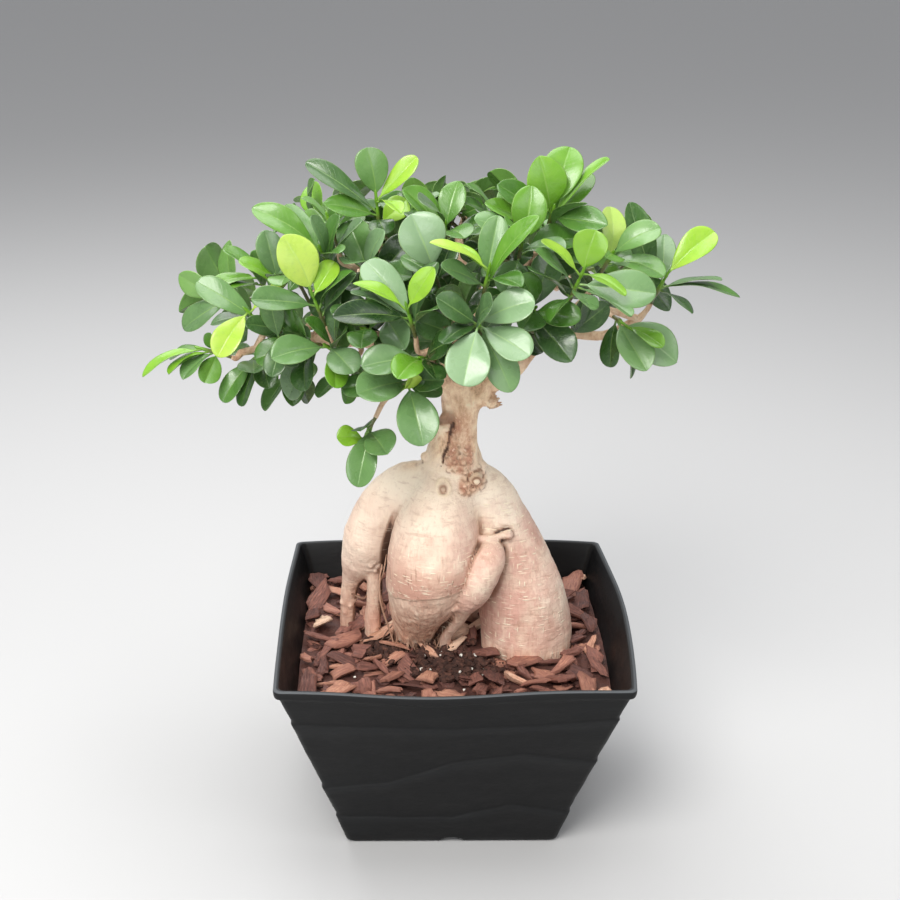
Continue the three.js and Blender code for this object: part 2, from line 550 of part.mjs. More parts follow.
// Back sprays stand over an egg-shaped crown at golden-angle steps, each with a forked stem.
function backSprays() {
  const draw = seeded(4021);
  const centre = V(-4, 28, 352);
  const rows = [];
  for (let k = 0; k < BACK_SPRAYS; k += 1) {
    const rise = lerp(0.96, 0.02, (k + 0.5) / BACK_SPRAYS);
    const turn = lerp(-0.3, Math.PI + 0.3, (k * 0.618 + 0.2) % 1);
    const flat = Math.sqrt(1 - rise * rise);
    const out = V(Math.cos(turn) * flat, Math.sin(turn) * flat, rise);
    const along = out.clone().add(V(0, 0, 0.35)).normalize();
    const base = centre.clone().add(V(out.x * 138, out.y * 98, out.z * 68));
    base.add(V(draw() * 10 - 5, draw() * 10 - 5, draw() * 10 - 5));
    rows.push({ name: `back_${k + 1}`, base, along, forks: forkWays(along, draw), seed: 900 + k * 17 });
  }
  return rows;
}

// Leaves by rule: the golden angle round the stem, wide at the foot and upright at the tip.
function ruledLeaves(along, seed, count) {
  const draw = seeded(seed);
  const side = V(0, 0, 1).cross(along).normalize();
  const other = along.clone().cross(side);
  const start = draw() * 6.28;
  const leaves = [];
  for (let i = 0; i < count; i += 1) {
    const t = 1 - i / (count - 1);
    const turn = start - i * GOLDEN;
    const tilt = THREE.MathUtils.degToRad(lerp(84, 36, t) + draw() * 16 - 8);
    const length = lerp(42, 33, t) + draw() * 6 - 3;
    const dir = along.clone().multiplyScalar(Math.cos(tilt))
      .addScaledVector(side, Math.sin(tilt) * Math.cos(turn))
      .addScaledVector(other, Math.sin(tilt) * Math.sin(turn));
    leaves.push({ reach: dir.multiplyScalar(length), width: length * (0.52 + draw() * 0.1),
      arch: 0.14 + draw() * 0.14, kind: dark, plain: true });
  }
  return leaves;
}

// A leaf that looks narrow from the front is a wider one that is turned up to the light.
function frontLeaves(spray, index) {
  const draw = seeded(300 + index * 31);
  return spray.leaves.map(([x, up, out, seen, kind]) => {
    const reach = V(x, 0, 0).addScaledVector(sightUp, up).addScaledVector(sightOut, out);
    const ahead = reach.clone().normalize();
    const open = sightOut.clone().lerp(sightUp, FACE_LIFT);
    open.addScaledVector(ahead, -open.dot(ahead)).normalize();
    const edge = ahead.clone().cross(open);
    if (edge.z < 0) edge.negate();
    const width = Math.max(seen * 1.06, kind === young ? YOUNG_WIDTH : LEAF_WIDTH);
    const roll = Math.acos(Math.min(1, seen * 1.06 / width)) * ROLL_SHARE;
    const face = open.multiplyScalar(Math.cos(roll)).addScaledVector(edge, Math.sin(roll));
    return { tip: spray.tip.clone().add(reach), width, face, arch: 0.08 + draw() * 0.14, kind,
      plain: seen < NARROW_LEAF };
  });
}

// Every spray as a base, a direction and its shoots; a shoot is a stem with its own leaves.
const frontRows = FRONT.map((row, index) => {
  const base = V(...row.base);
  const tip = V(...row.tip);
  const along = tip.clone().sub(base).normalize();
  const list = frontLeaves({ tip, leaves: row.leaves }, index);
  const old = list.filter((leaf) => leaf.kind !== young);
  const fresh = list.filter((leaf) => leaf.kind === young);
  const start = base.clone().addScaledVector(along, GAP);
  const fork = base.clone().lerp(tip, fresh.length ? 0.72 : 1);
  const shoots = [{ node: `spray_${row.name}`, start, end: fork, radii: [STEM_RADIUS, 1.3], leaves: old }];
  if (fresh.length) {
    shoots.push({ node: `young_${row.name}`, start: fork.clone().addScaledVector(along, GAP),
      end: tip.clone().addScaledVector(along, 2), radii: [1.3, 0.9], leaves: fresh });
  }
  return { base, along, shoots };
});
const ruledRows = innerSprays().concat(backSprays()).map((row) => {
  const start = row.base.clone().addScaledVector(row.along, row.forks ? GAP + FORK_CLEAR : GAP);
  const shoots = (row.forks || [row.along]).map((way, i) => {
    const leaves = ruledLeaves(way, row.seed + i * 7, row.forks ? FORK_LEAVES : RULED_LEAVES);
    leaves.forEach((leaf) => { leaf.face = way; });
    return { node: `spray_${row.name}`, start, end: start.clone().addScaledVector(way, 24),
      radii: [STEM_RADIUS, 1.1], leaves };
  });
  return { base: row.base, along: row.along, shoots };
});
const sprays = frontRows.concat(ruledRows);

function buildWood(grow) {
  const parts = TUBERS.map((t, i) => limb(t.stations, t.sides, t.steps, t.lumps, 40 + i, grow));
  SCARS.forEach((t, i) => parts.push(limb(t.stations, t.sides, t.steps, 0, 60 + i, grow)));
  BOUGHS.forEach((rows, i) => parts.push(limb(rows, 5, rows.length - 1, 0.02, 80 + i, grow)));
  for (const spray of sprays) parts.push(limb(twigTo(spray.base, spray.along), 3, 2, 0, 5, grow));
  return unite(parts);
}

const materials = {
  pot: new THREE.MeshStandardMaterial({ color: 0x17181a, roughness: 0.45, metalness: 0 }),
  soil: new THREE.MeshStandardMaterial({ color: 0x2a1d16, roughness: 1, metalness: 0 }),
  bark: new THREE.MeshStandardMaterial({ color: 0x8a4a30, roughness: 0.9, metalness: 0 }),
  wood: new THREE.MeshStandardMaterial({ color: 0xb89a80, roughness: 0.8, metalness: 0 }),
  leaf: new THREE.MeshStandardMaterial({ color: 0x2f6b2c, roughness: 0.4, metalness: 0 }),
  young: new THREE.MeshStandardMaterial({ color: 0x86c420, roughness: 0.4, metalness: 0 }),
};

const group = new THREE.Group();

function addPiece(name, solid, material) {
  const data = solid.getMesh();
  const geometry = new THREE.BufferGeometry();
  const stride = data.numProp;
  const positions = new Float32Array((data.vertProperties.length / stride) * 3);
  for (let i = 0; i < positions.length / 3; i += 1) {
    for (let k = 0; k < 3; k += 1) positions[i * 3 + k] = data.vertProperties[i * stride + k];
  }
  geometry.setAttribute('position', new THREE.BufferAttribute(positions, 3));
  geometry.setIndex(new THREE.BufferAttribute(new Uint32Array(data.triVerts), 1));
  const welded = BufferGeometryUtils.mergeVertices(geometry, 1e-3);
  welded.computeVertexNormals();
  const mesh = new THREE.Mesh(welded, material.clone());
  mesh.name = name;
  group.add(mesh);
}

// Stems are laid first and every leaf then looks for room among all that stands.
const boxesMeet = (a, b) => [0, 1, 2].every((k) => a.min[k] < b.max[k] && b.min[k] < a.max[k]);
const standing = [];
const stand = (owner, solid) => standing.push({ owner, solid, box: solid.boundingBox() });

function isFree(owner, whole, blade) {
  const box = whole.boundingBox();
  for (const other of standing) {
    if (!boxesMeet(box, other.box)) continue;
    const tried = other.owner === owner ? blade : whole;
    if (!tried.intersect(other.solid).isEmpty()) return false;
  }
  return true;
}

// Turn about the stem, lift, lower foot and share of the length, in the order in which they are tried.
const TRIES = [[0, 0, 0], [6, 0, 0], [-6, 0, 0], [0, 7, 0], [0, -7, 0], [0, 0, 1], [10, 6, 0], [-10, 6, 0],
  [10, -6, 0], [-10, -6, 0], [0, 0, 2], [16, 0, 0], [-16, 0, 0], [0, 14, 0], [0, -14, 0], [10, 0, 1], [-10, 0, 1],
  [18, 12, 0], [-18, 12, 0], [18, -12, 0], [-18, -12, 0], [24, 0, 1], [-24, 0, 1], [30, 8, 0], [-30, 8, 0],
  [30, -10, 1], [-30, -10, 1], [0, 0, 0, 0.85], [14, 0, 0, 0.85], [-14, 0, 0, 0.85], [0, 12, 0, 0.85],
  [0, -12, 0, 0.85], [0, 0, 2, 0.8], [22, 10, 1, 0.8], [-22, 10, 1, 0.8], [22, -16, 1, 0.8], [-22, -16, 1, 0.8]];

function turned(reach, axis, across, yaw, pitch) {
  return reach.clone()
    .applyAxisAngle(axis, THREE.MathUtils.degToRad(yaw))
    .applyAxisAngle(across, THREE.MathUtils.degToRad(pitch));
}

const wood = buildWood(0);
for (const spray of sprays) stand('wood', limb(twigTo(spray.base, spray.along), 3, 2, 0, 5, GAP));
BOUGHS.forEach((rows, i) => stand('wood', limb(rows, 5, rows.length - 1, 0.02, 80 + i, GAP)));
TUBERS.forEach((t, i) => stand('wood', limb(t.stations, t.sides, t.steps, t.lumps, 40 + i, GAP)));

const shoots = sprays.flatMap((spray) => spray.shoots);
for (const shoot of shoots) {
  shoot.stem = new Stem(shoot.start, shoot.end, ...shoot.radii, shoot.leaves.length + 1);
  stand(shoot.node, shoot.stem.bare(GAP));
}

// Large leaves and those far out look for room first and the ruled ones last.
const queue = shoots.flatMap((shoot) => shoot.leaves.map((leaf) => ({ shoot, leaf })));
const crownHeart = V(0, 0, 385);
const early = (leaf) => (leaf.kind === young ? 10 : 0);
const rank = ({ leaf }) => (leaf.tip ? leaf.width + early(leaf) + 0.2 * leaf.tip.distanceTo(crownHeart) : 0);
queue.sort((a, b) => rank(b) - rank(a));

function placeLeaf({ shoot, leaf }) {
  const { stem, node } = shoot;
  const free = [];
  for (let k = stem.slots - 1; k >= 0; k -= 1) if (!stem.leaves.some((l) => l.slot === k)) free.push(k);
  for (const [yaw, pitch, lower, share = 1] of TRIES) {
    const slot = free[lower];
    if (slot === undefined) continue;
    const rough = leaf.tip ? leaf.tip.clone().sub(stem.start) : leaf.reach;
    const reach = leaf.tip ? leaf.tip.clone().sub(stem.foot(slot, rough)) : leaf.reach;
    const across = reach.clone().cross(leaf.face).normalize();
    const aim = turned(reach, stem.along, across, yaw, pitch).multiplyScalar(share);
    const foot = stem.foot(slot, aim);
    if (!isFree(node, looseLeaf(foot, leaf, aim, 0, true), looseLeaf(foot, leaf, aim, 0, false))) continue;
    stem.leaves.push({ ...leaf, aim, slot });
    stand(node, looseLeaf(foot, leaf, aim, GAP, true));
    return;
  }
}

queue.forEach(placeLeaf);

// SOIL AND BARK
const grounded = TUBERS.filter((t) => t.stations[t.stations.length - 1][2] === ROOT_BOTTOM);

// A plain upright hole in the soil with a little play for each root.
function soilHole(t) {
  const [low, next] = [t.stations[t.stations.length - 1], t.stations[t.stations.length - 2]];
  const sides = low[3] > 10 ? 12 : 8;
  const wide = (Math.max(low[3], next[3]) * (1 + 3 * t.lumps) + HOLE_PLAY) / Math.cos(Math.PI / sides);
  return limb([[low[0], low[1], ROOT_BOTTOM - GAP, wide], [low[0], low[1], BED_TOP + 20, wide]], sides, 1);
}

// The hole in the bark follows the slant of the root.
function barkHole(t) {
  const sides = t.stations[t.stations.length - 1][3] > 10 ? 12 : 8;
  const rows = t.stations.slice(-4).map(([x, y, z, r]) => [x, y, z,
    (r * (1 + 3 * t.lumps) + HOLE_PLAY) / Math.cos(Math.PI / sides)]);
  return limb(rows, sides, 3);
}

// The largest body of a solid that a cut may have parted.
function mainBody(solid) {
  const bodies = solid.decompose();
  return bodies.reduce((best, body) => (body.volume() > best.volume() ? body : best));
}

function buildSoil() {
  const inset = POT_WALL + GAP + 0.6;
  const rings = [planRing(halfAt(POT_FLOOR + GAP) - inset, POT_FLOOR + GAP, 2, 0),
    planRing(halfAt(SOIL_TOP) - inset, SOIL_TOP, 2, 0)];
  const mound = limb([[0, -36, SOIL_TOP - 6, 34], [0, -35, SOIL_TOP + 4, 31], [0, -33, BED_TOP, 25],
    [0, -32, BED_TOP + 2, 8]], 12, 3, 0.02, 9, 0, MOUND_FLAT);
  let soil = loft(rings).add(mound);
  for (const t of grounded) soil = soil.subtract(soilHole(t));
  return mainBody(soil);
}

// A chip of bark: a broken slab with uneven corners.
function chip(centre, turn, tiltX, tiltY, long, broad, thick, draw) {
  const corners = [[-1, -1], [1, -1], [1, 1], [-1, 1]];
  const place = new THREE.Matrix4().makeRotationFromEuler(new THREE.Euler(tiltX, tiltY, turn));
  const ring = (z, scale) => corners.map(([x, y]) => V(
    x * long * 0.5 * scale * (0.75 + draw() * 0.4),
    y * broad * 0.5 * scale * (0.65 + draw() * 0.5), z * thick * (0.7 + draw() * 0.5))
    .applyMatrix4(place).add(centre));
  return loft([ring(-0.5, 1), ring(0.5, 0.86)]);
}

function buildBark() {
  const inset = POT_WALL + GAP + 0.9;
  const draw = seeded(77);
  const chips = [loft([planRing(halfAt(SOIL_TOP + GAP) - inset, SOIL_TOP + GAP, 2, 0),
    planRing(halfAt(BED_TOP) - inset, BED_TOP, 2, 0)])];
  for (let k = 0; k < CHIP_COUNT; k += 1) {
    const share = Math.sqrt((k + 0.5) / CHIP_COUNT);
    const turn = k * GOLDEN;
    const half = halfAt(BED_TOP) - 18;
    const reach = Math.min(1.3, 1 / Math.max(Math.abs(Math.cos(turn)), Math.abs(Math.sin(turn))));
    const x = Math.cos(turn) * share * half * reach;
    const y = Math.sin(turn) * share * half * reach;
    const long = 15 + draw() * 13;
    chips.push(chip(V(x, y, BED_TOP + 1.5 + draw() * 3), draw() * 6.28, draw() * 0.7 - 0.35, draw() * 0.7 - 0.35,
      long, long * (0.45 + draw() * 0.3), 5 + draw() * 3, draw));
  }
  let bark = unite(chips);
  const clear = limb([[0, -36, SOIL_TOP - 6, 37], [0, -36, BED_TOP + 16, 37]], 12, 1, 0, 9, 0, MOUND_FLAT);
  bark = bark.subtract(clear);
  for (const t of grounded) bark = bark.subtract(barkHole(t));
  const outside = loft([planRing(halfAt(60) + 60, 60, 1, 0), planRing(halfAt(200) + 60, 200, 1, 0)]);
  const inside = loft([planRing(halfAt(90) - inset, 90, 2, 0), planRing(halfAt(146) - inset, 146, 2, 0)]);
  return mainBody(bark.subtract(outside.subtract(inside)));
}

addPiece('pot', buildPot(), materials.pot);
addPiece('soil', buildSoil(), materials.soil);
addPiece('bark_mulch', buildBark(), materials.bark);
addPiece('tree_wood', mainBody(wood), materials.wood);
const nodes = [...new Set(shoots.map((shoot) => shoot.node))];
for (const node of nodes) {
  const solids = shoots.filter((shoot) => shoot.node === node).map((shoot) => shoot.stem.solid());
  addPiece(node, unite(solids), node.startsWith('young') ? materials.young : materials.leaf);
}

export default group;
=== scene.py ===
"""Potted Chinese banyan: leaves, stems, wood, bark chips, soil and pot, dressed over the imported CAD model.

Lengths in the tables are millimetres; meshes are written in metres.
"""

import math

import bpy
import numpy as np
from mathutils import Matrix, Vector


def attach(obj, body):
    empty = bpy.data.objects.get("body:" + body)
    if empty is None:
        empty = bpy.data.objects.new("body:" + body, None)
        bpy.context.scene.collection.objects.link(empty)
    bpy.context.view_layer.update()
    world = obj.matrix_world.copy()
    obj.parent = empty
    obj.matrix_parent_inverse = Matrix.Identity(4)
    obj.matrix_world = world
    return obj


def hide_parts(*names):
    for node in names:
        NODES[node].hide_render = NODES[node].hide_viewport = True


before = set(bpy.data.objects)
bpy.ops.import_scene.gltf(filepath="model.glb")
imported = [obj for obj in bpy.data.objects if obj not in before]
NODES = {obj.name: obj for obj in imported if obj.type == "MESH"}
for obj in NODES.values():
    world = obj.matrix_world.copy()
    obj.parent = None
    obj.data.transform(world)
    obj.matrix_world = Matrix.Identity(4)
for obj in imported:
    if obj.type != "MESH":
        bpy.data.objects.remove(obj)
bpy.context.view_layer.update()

MM = 0.001
UP = np.array([0.0, 0.0, 1.0])

# Camera, as fitted to the photograph
CAMERA_PLACE = (-0.03058, -1.04473, 0.67437)
CAMERA_PITCH = 0.368233
CAMERA_YAW = -0.026993
CAMERA_ROLL = 0.011226
FOCAL_PIXELS = 1605.45
PICTURE_PIXELS = 900
SENSOR = 36.0

# Pot
RIM_WIDTH = 240.0
BASE_WIDTH = 150.0
POT_HEIGHT = 147.0
POT_WALL = 4.0
INNER_WALL = 3.6
RIM_DEPTH = 6.0
RIM_FADE = 125.0
CORNER_RADIUS = 5.0
# Bow of the front, right, back and left sides at the rim, and where each starts in its wave
SIDE_BOWS = (4.0, 6.5, 4.0, 2.5)
RIM_PHASES = (2.2, 4.7, 1.4, 5.6)
RIM_WAVE = 2.4
POT_FLOOR = 6.0
GROOVE_RADIUS = 9.0
GROOVE_HEIGHT = 4.5
DRAIN_RADIUS = 6.0
DRAIN_OFFSET = 44.0
LEDGE_DEPTH = 1.2
LEDGE_STEP = 2.0
# Height of each broken ledge at even places along a side
LEDGES = ((25, 24, 24, 37, 28), (54, 60, 80, 88, 79), (115, 114, 113, 115, 119))
# Rings of points above each ledge
LEDGE_RINGS = (17, 16, 12)
# The lip: height over the rim, how far in it stands, and its painted highlight
LIP = ((-6.0, 0.6, 0.0), (-4.4, 0.1, 0.1), (-1.3, -0.2, 0.4), (-0.45, 0.0, 1.0), (-0.1, 0.5, 1.0), (0.0, 1.2, 1.0),
       (0.0, 2.2, 0.8), (-0.15, 2.9, 0.8), (-0.5, 3.4, 0.7), (-1.2, 3.7, 0.3))

# Bed
SOIL_TOP = 108.0
BED_TOP = 119.0
GAP = 0.3
CHIP_COUNT = 500
CRUMB_COUNT = 520
PERLITE_COUNT = 16

# Wood
ROOT_BOTTOM = 100.0
WOOD_STEP = 1.2
BOUGH_STEP = 1.7
WOOD_SPLIT = 321.0
STEM_RADIUS = 1.5
TWIG_RADIUS = 1.9
FORK_CLEAR = 1.05
FRINGE_COUNT = 64
GOLDEN = math.pi * (3 - math.sqrt(5))

# Leaves
INNER_TRIES = 2600
INNER_COUNT = 190
INNER_ROOM = 2.6
INNER_REACH = 28.0
LEAF_RINGS = {4: (0.15, 0.42, 0.72, 0.93), 2: (0.42, 0.82)}
RIB_THICK = 1.6
PLAIN_SHARE = 0.92
SHARE_PLAY = 0.008
WELD_GRID = 50
PETIOLE = 0.13
LEAF_ROWS = (0.0, 0.05, 0.1, 0.135, 0.17, 0.22, 0.28, 0.35, 0.43, 0.51, 0.59, 0.67, 0.75, 0.82, 0.88, 0.93, 0.965,
             0.988)
LEAF_COLUMNS = (-1.0, -0.94, -0.78, -0.54, -0.28, -0.09, 0.0, 0.09, 0.28, 0.54, 0.78, 0.94, 1.0)

# Numbers that the points of leaves and wood carry for their materials
LEAF_NUMBERS = ("leaf_u", "leaf_s", "leaf_tone", "leaf_side", "leaf_pale", "leaf_stem")
WOOD_NUMBERS = ("wood_neck", "wood_low", "wood_painted_shade_and_dark", "wood_pale_and_painted_highlight", "wood_pink", "wood_dash", "wood_painted_light",
                "wood_band")
# Breathing pores: cells per metre by axis, the channel of the cell's colour that decides, where it starts, and width
PORES = (((72, 72, 470), 0, 0.54, 0.29), ((118, 118, 560), 2, 0.62, 0.3), ((500, 500, 84), 1, 0.58, 0.28))

# Noise and grids
NOISE_LAYERS = 3
CELL_CORNERS = np.array([[c & 1, (c >> 1) & 1, (c >> 2) & 1] for c in range(8)])

# Studio: name, place, size, power and colour of each light
LIGHTS = (
    ("key", (-0.6, -1.35, 1.8), 1.1, 41, (1.0, 0.98, 0.95)),
    ("fill", (1.4, -1.1, 1.2), 1.0, 6, (1, 1, 1)),
    ("front", (-0.6, -1.7, 0.75), 0.9, 8, (1, 1, 1)),
    ("top", (0.1, 0.1, 1.9), 1.3, 18, (1, 1, 1)),
    ("sheen", (-0.5, 0.9, 1.5), 1.2, 12, (1, 1, 1)),
)
LIGHT_AIM = (0, 0, 0.25)
FLOOR_SIZE = 60.0
FLOOR_COLOUR = (0.5, 0.5, 0.5, 1)
SKY_COLOUR = (0.96, 0.97, 1.0, 1)
SKY_STRENGTH = 0.5


# SMALL TOOLS

def unit(v):
    return v / np.linalg.norm(v)


def lerp(a, b, t):
    return a + (b - a) * t


def smooth(low, high, x):
    t = np.clip((x - low) / (high - low), 0.0, 1.0)
    return t * t * (3 - 2 * t)


def hashed(cell, seed):
    """One number from 0 to 1 for each whole-number cell."""
    h = (cell[:, 0] * 374761393 + cell[:, 1] * 668265263 + cell[:, 2] * 2147483647 + seed * 974634777) & 0xFFFFFFFF
    h = ((h ^ (h >> 13)) * 1274126177) & 0xFFFFFFFF
    h = ((h ^ (h >> 16)) * 2246822519) & 0xFFFFFFFF
    return ((h ^ (h >> 15)) & 0xFFFFFF) / float(0xFFFFFF)


def value_noise(points, size, seed):
    """Smooth noise from -1 to 1; size is the length of one swell in the units of the points."""
    p = points / size
    cell = np.floor(p).astype(np.int64)
    f = p - cell
    f = f * f * (3 - 2 * f)
    total = np.zeros(len(points))
    for step in CELL_CORNERS:
        weight = np.prod(np.where(step, f, 1 - f), axis=1)
        total += weight * hashed(cell + step, seed)
    return total * 2 - 1


def layered_noise(points, size, seed):
    """Noise of a swell and its halves, each half as strong as the one before."""
    total = np.zeros(len(points))
    for k in range(NOISE_LAYERS):
        total += 0.5 ** k * value_noise(points, size / 2 ** k, seed + 17 * k)
    return total


def ridge(x, middle, width):
    """1 on the middle, and falling to 0 on both sides."""
    return np.exp(-((x - middle) / width) ** 2)


def stacked(levels, around):
    """Faces of a closed stack of rings, with the two ends last."""
    sides = [(k * around + i, k * around + (i + 1) % around, (k + 1) * around + (i + 1) % around,
              (k + 1) * around + i) for k in range(levels - 1) for i in range(around)]
    return sides + [tuple(range(around - 1, -1, -1)), tuple((levels - 1) * around + i for i in range(around))]


def placed(name, data):
    """A new object in the scene for a mesh, a light or a camera."""
    made = bpy.data.objects.new(name, data)
    bpy.context.scene.collection.objects.link(made)
    return made


class Builder:
    """Collects points, faces and named numbers for one mesh."""

    def __init__(self):
        self.points, self.faces, self.values = [], [], {}
        self.count = 0

    def add(self, points, faces, **values):
        points = np.asarray(points, float)
        for key, given in values.items():
            given = np.broadcast_to(np.asarray(given, float), (len(points),) + np.shape(given)[1:])
            self.values.setdefault(key, []).append((self.count, given))
        self.points.append(points)
        self.faces.extend([tuple(i + self.count for i in face) for face in faces])
        self.count += len(points)

    def make(self, name, material, replaced=(), sharp=None):
        mesh = bpy.data.meshes.new(name)
        points = np.concatenate(self.points) * MM
        mesh.from_pydata(points.tolist(), [], self.faces)
        for key, parts in self.values.items():
            whole = np.zeros(self.count)
            for start, part in parts:
                whole[start:start + len(part)] = part
            mesh.attributes.new(key, "FLOAT", "POINT").data.foreach_set("value", whole.astype(np.float32))
        mesh.shade_smooth()
        if sharp is not None:
            mesh.set_sharp_from_angle(angle=math.radians(sharp))
        mesh.materials.append(material)
        piece = placed(name, mesh)
        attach(piece, "root")
        if replaced:
            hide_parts(*replaced)
        return piece


def tube(path, radii, sides, seed=0, rough=0.0):
    """Points and faces of a round bar along a path; radii go with the path's points."""
    path = np.asarray(path, float)
    radii = np.asarray(radii, float)
    tangents = np.gradient(path, axis=0)
    side = np.cross(tangents[0], UP)
    if np.linalg.norm(side) < 1e-6:
        side = np.array([1.0, 0.0, 0.0])
    angle = np.arange(sides) / sides * 2 * math.pi
    points = []
    for tangent, centre, radius in zip(tangents, path, radii):
        along = unit(tangent)
        side = unit(side - along * side.dot(along))
        other = np.cross(along, side)
        points.append(centre + radius * (np.cos(angle)[:, None] * side + np.sin(angle)[:, None] * other))
    points = np.concatenate(points)
    if rough:
        centre = np.repeat(path, sides, axis=0)
        grow = 1 + rough * value_noise(points, 4.0, seed)[:, None]
        points = centre + (points - centre) * grow
    return points, stacked(len(path), sides)


def catmull(stations, steps):
    """Smooth curve through x, y, z, radius stations; returns points and radii."""
    s = np.asarray(stations, float)
    p = s[:, :3]
    before, after = 2 * p[0] - p[1], 2 * p[-1] - p[-2]
    p = np.vstack([before, p, after])
    points, radii = [], []
    for k in range(steps + 1):
        at = k / steps * (len(s) - 1)
        low = min(int(at), len(s) - 2)
        t = at - low
        x = p[low:low + 4]
        d = [max(np.linalg.norm(x[i + 1] - x[i]) ** 0.5, 1e-4) for i in range(3)]
        t1 = ((x[1] - x[0]) / d[0] - (x[2] - x[0]) / (d[0] + d[1]) + (x[2] - x[1]) / d[1]) * d[1]
        t2 = ((x[2] - x[1]) / d[1] - (x[3] - x[1]) / (d[1] + d[2]) + (x[3] - x[2]) / d[2]) * d[1]
        c2 = -3 * x[1] + 3 * x[2] - 2 * t1 - t2
        c3 = 2 * x[1] - 2 * x[2] + t1 + t2
        points.append(x[1] + t1 * t + c2 * t ** 2 + c3 * t ** 3)
        radii.append(lerp(s[low, 3], s[low + 1, 3], t))
    return np.array(points), np.array(radii)


# MATERIALS

class Finish:
    """A material with short calls for its nodes."""

    def __init__(self, name, roughness=0.5, **uniform):
        self.material = bpy.data.materials.new(name)
        self.material.use_nodes = True
        self.tree = self.material.node_tree
        self.shader = self.tree.nodes["Principled BSDF"]
        self.base = None
        self.shader.inputs["Roughness"].default_value = roughness
        for socket, value in uniform.items():
            self.shader.inputs[socket.replace("_", " ")].default_value = value

    def node(self, kind, values=None, **settings):
        made = self.tree.nodes.new(kind)
        for key, value in settings.items():
            setattr(made, key, value)
        for socket, value in (values or {}).items():
            if isinstance(value, bpy.types.NodeSocket):
                self.tree.links.new(value, made.inputs[socket])
            else:
                made.inputs[socket].default_value = value
        return made

    def math(self, operation, *values):
        return self.node("ShaderNodeMath", dict(enumerate(values)), operation=operation).outputs[0]

    def times(self, *values):
        return self.math("MULTIPLY", *values)

    def plus(self, *values):
        return self.math("ADD", *values)

    def number(self, name):
        return self.node("ShaderNodeAttribute", attribute_name=name, attribute_type="GEOMETRY").outputs["Fac"]

    def place(self, scale):
        """Object coordinates times scale, which may differ by axis."""
        at = self.node("ShaderNodeTexCoord").outputs["Object"]
        return self.node("ShaderNodeMapping", {"Vector": at, "Scale": scale}).outputs[0]

    def noise(self, scale, detail=3.0, rough=0.55, vector=None, distortion=0.0):
        """scale is swells per metre, for each axis."""
        at = vector or self.place(scale)
        return self.node("ShaderNodeTexNoise", {"Vector": at, "Scale": 1.0, "Detail": detail, "Roughness": rough,
                                                "Distortion": distortion}).outputs["Fac"]

    def cells(self, scale, randomness=1.0):
        return self.node("ShaderNodeTexVoronoi", {"Vector": self.place(scale), "Scale": 1.0,
                                                  "Randomness": randomness})

    def span(self, value, low, high, to_low=0.0, to_high=1.0):
        return self.node("ShaderNodeMapRange", {"Value": value, "From Min": low, "From Max": high,
                                                "To Min": to_low, "To Max": to_high},
                         interpolation_type="SMOOTHSTEP").outputs[0]

    def ramp(self, value, stops):
        made = self.node("ShaderNodeValToRGB", {"Fac": value})
        elements = made.color_ramp.elements
        while len(elements) < len(stops):
            elements.new(0.5)
        for element, (place, colour) in zip(elements, stops):
            element.position = place
            element.color = (*rgb(*colour), 1.0)
        return made.outputs["Color"]

    def mix(self, share, first, second):
        """Each of the two is a socket, or a colour as screen values of 0 to 255."""
        made = self.node("ShaderNodeMix", {"Factor": share}, data_type="RGBA", blend_type="MIX")
        for socket, value in ((6, first), (7, second)):
            if isinstance(value, bpy.types.NodeSocket):
                self.tree.links.new(value, made.inputs[socket])
            else:
                made.inputs[socket].default_value = (*rgb(*value), 1.0)
        return made.outputs[2]

    def over(self, share, colour):
        """Lays a share of a colour over the base colour so far."""
        self.base = self.mix(share, self.base, colour)

    def set(self, socket, value):
        self.tree.links.new(value, self.shader.inputs[socket])

    def bump(self, height, strength, distance):
        made = self.node("ShaderNodeBump", {"Height": height, "Strength": strength, "Distance": distance})
        self.set("Normal", made.outputs[0])


def rgb(red, green, blue):
    """Linear colour from screen values of 0 to 255."""
    def one(v):
        v /= 255
        return v / 12.92 if v <= 0.04045 else ((v + 0.055) / 1.055) ** 2.4
    return (one(red), one(green), one(blue))


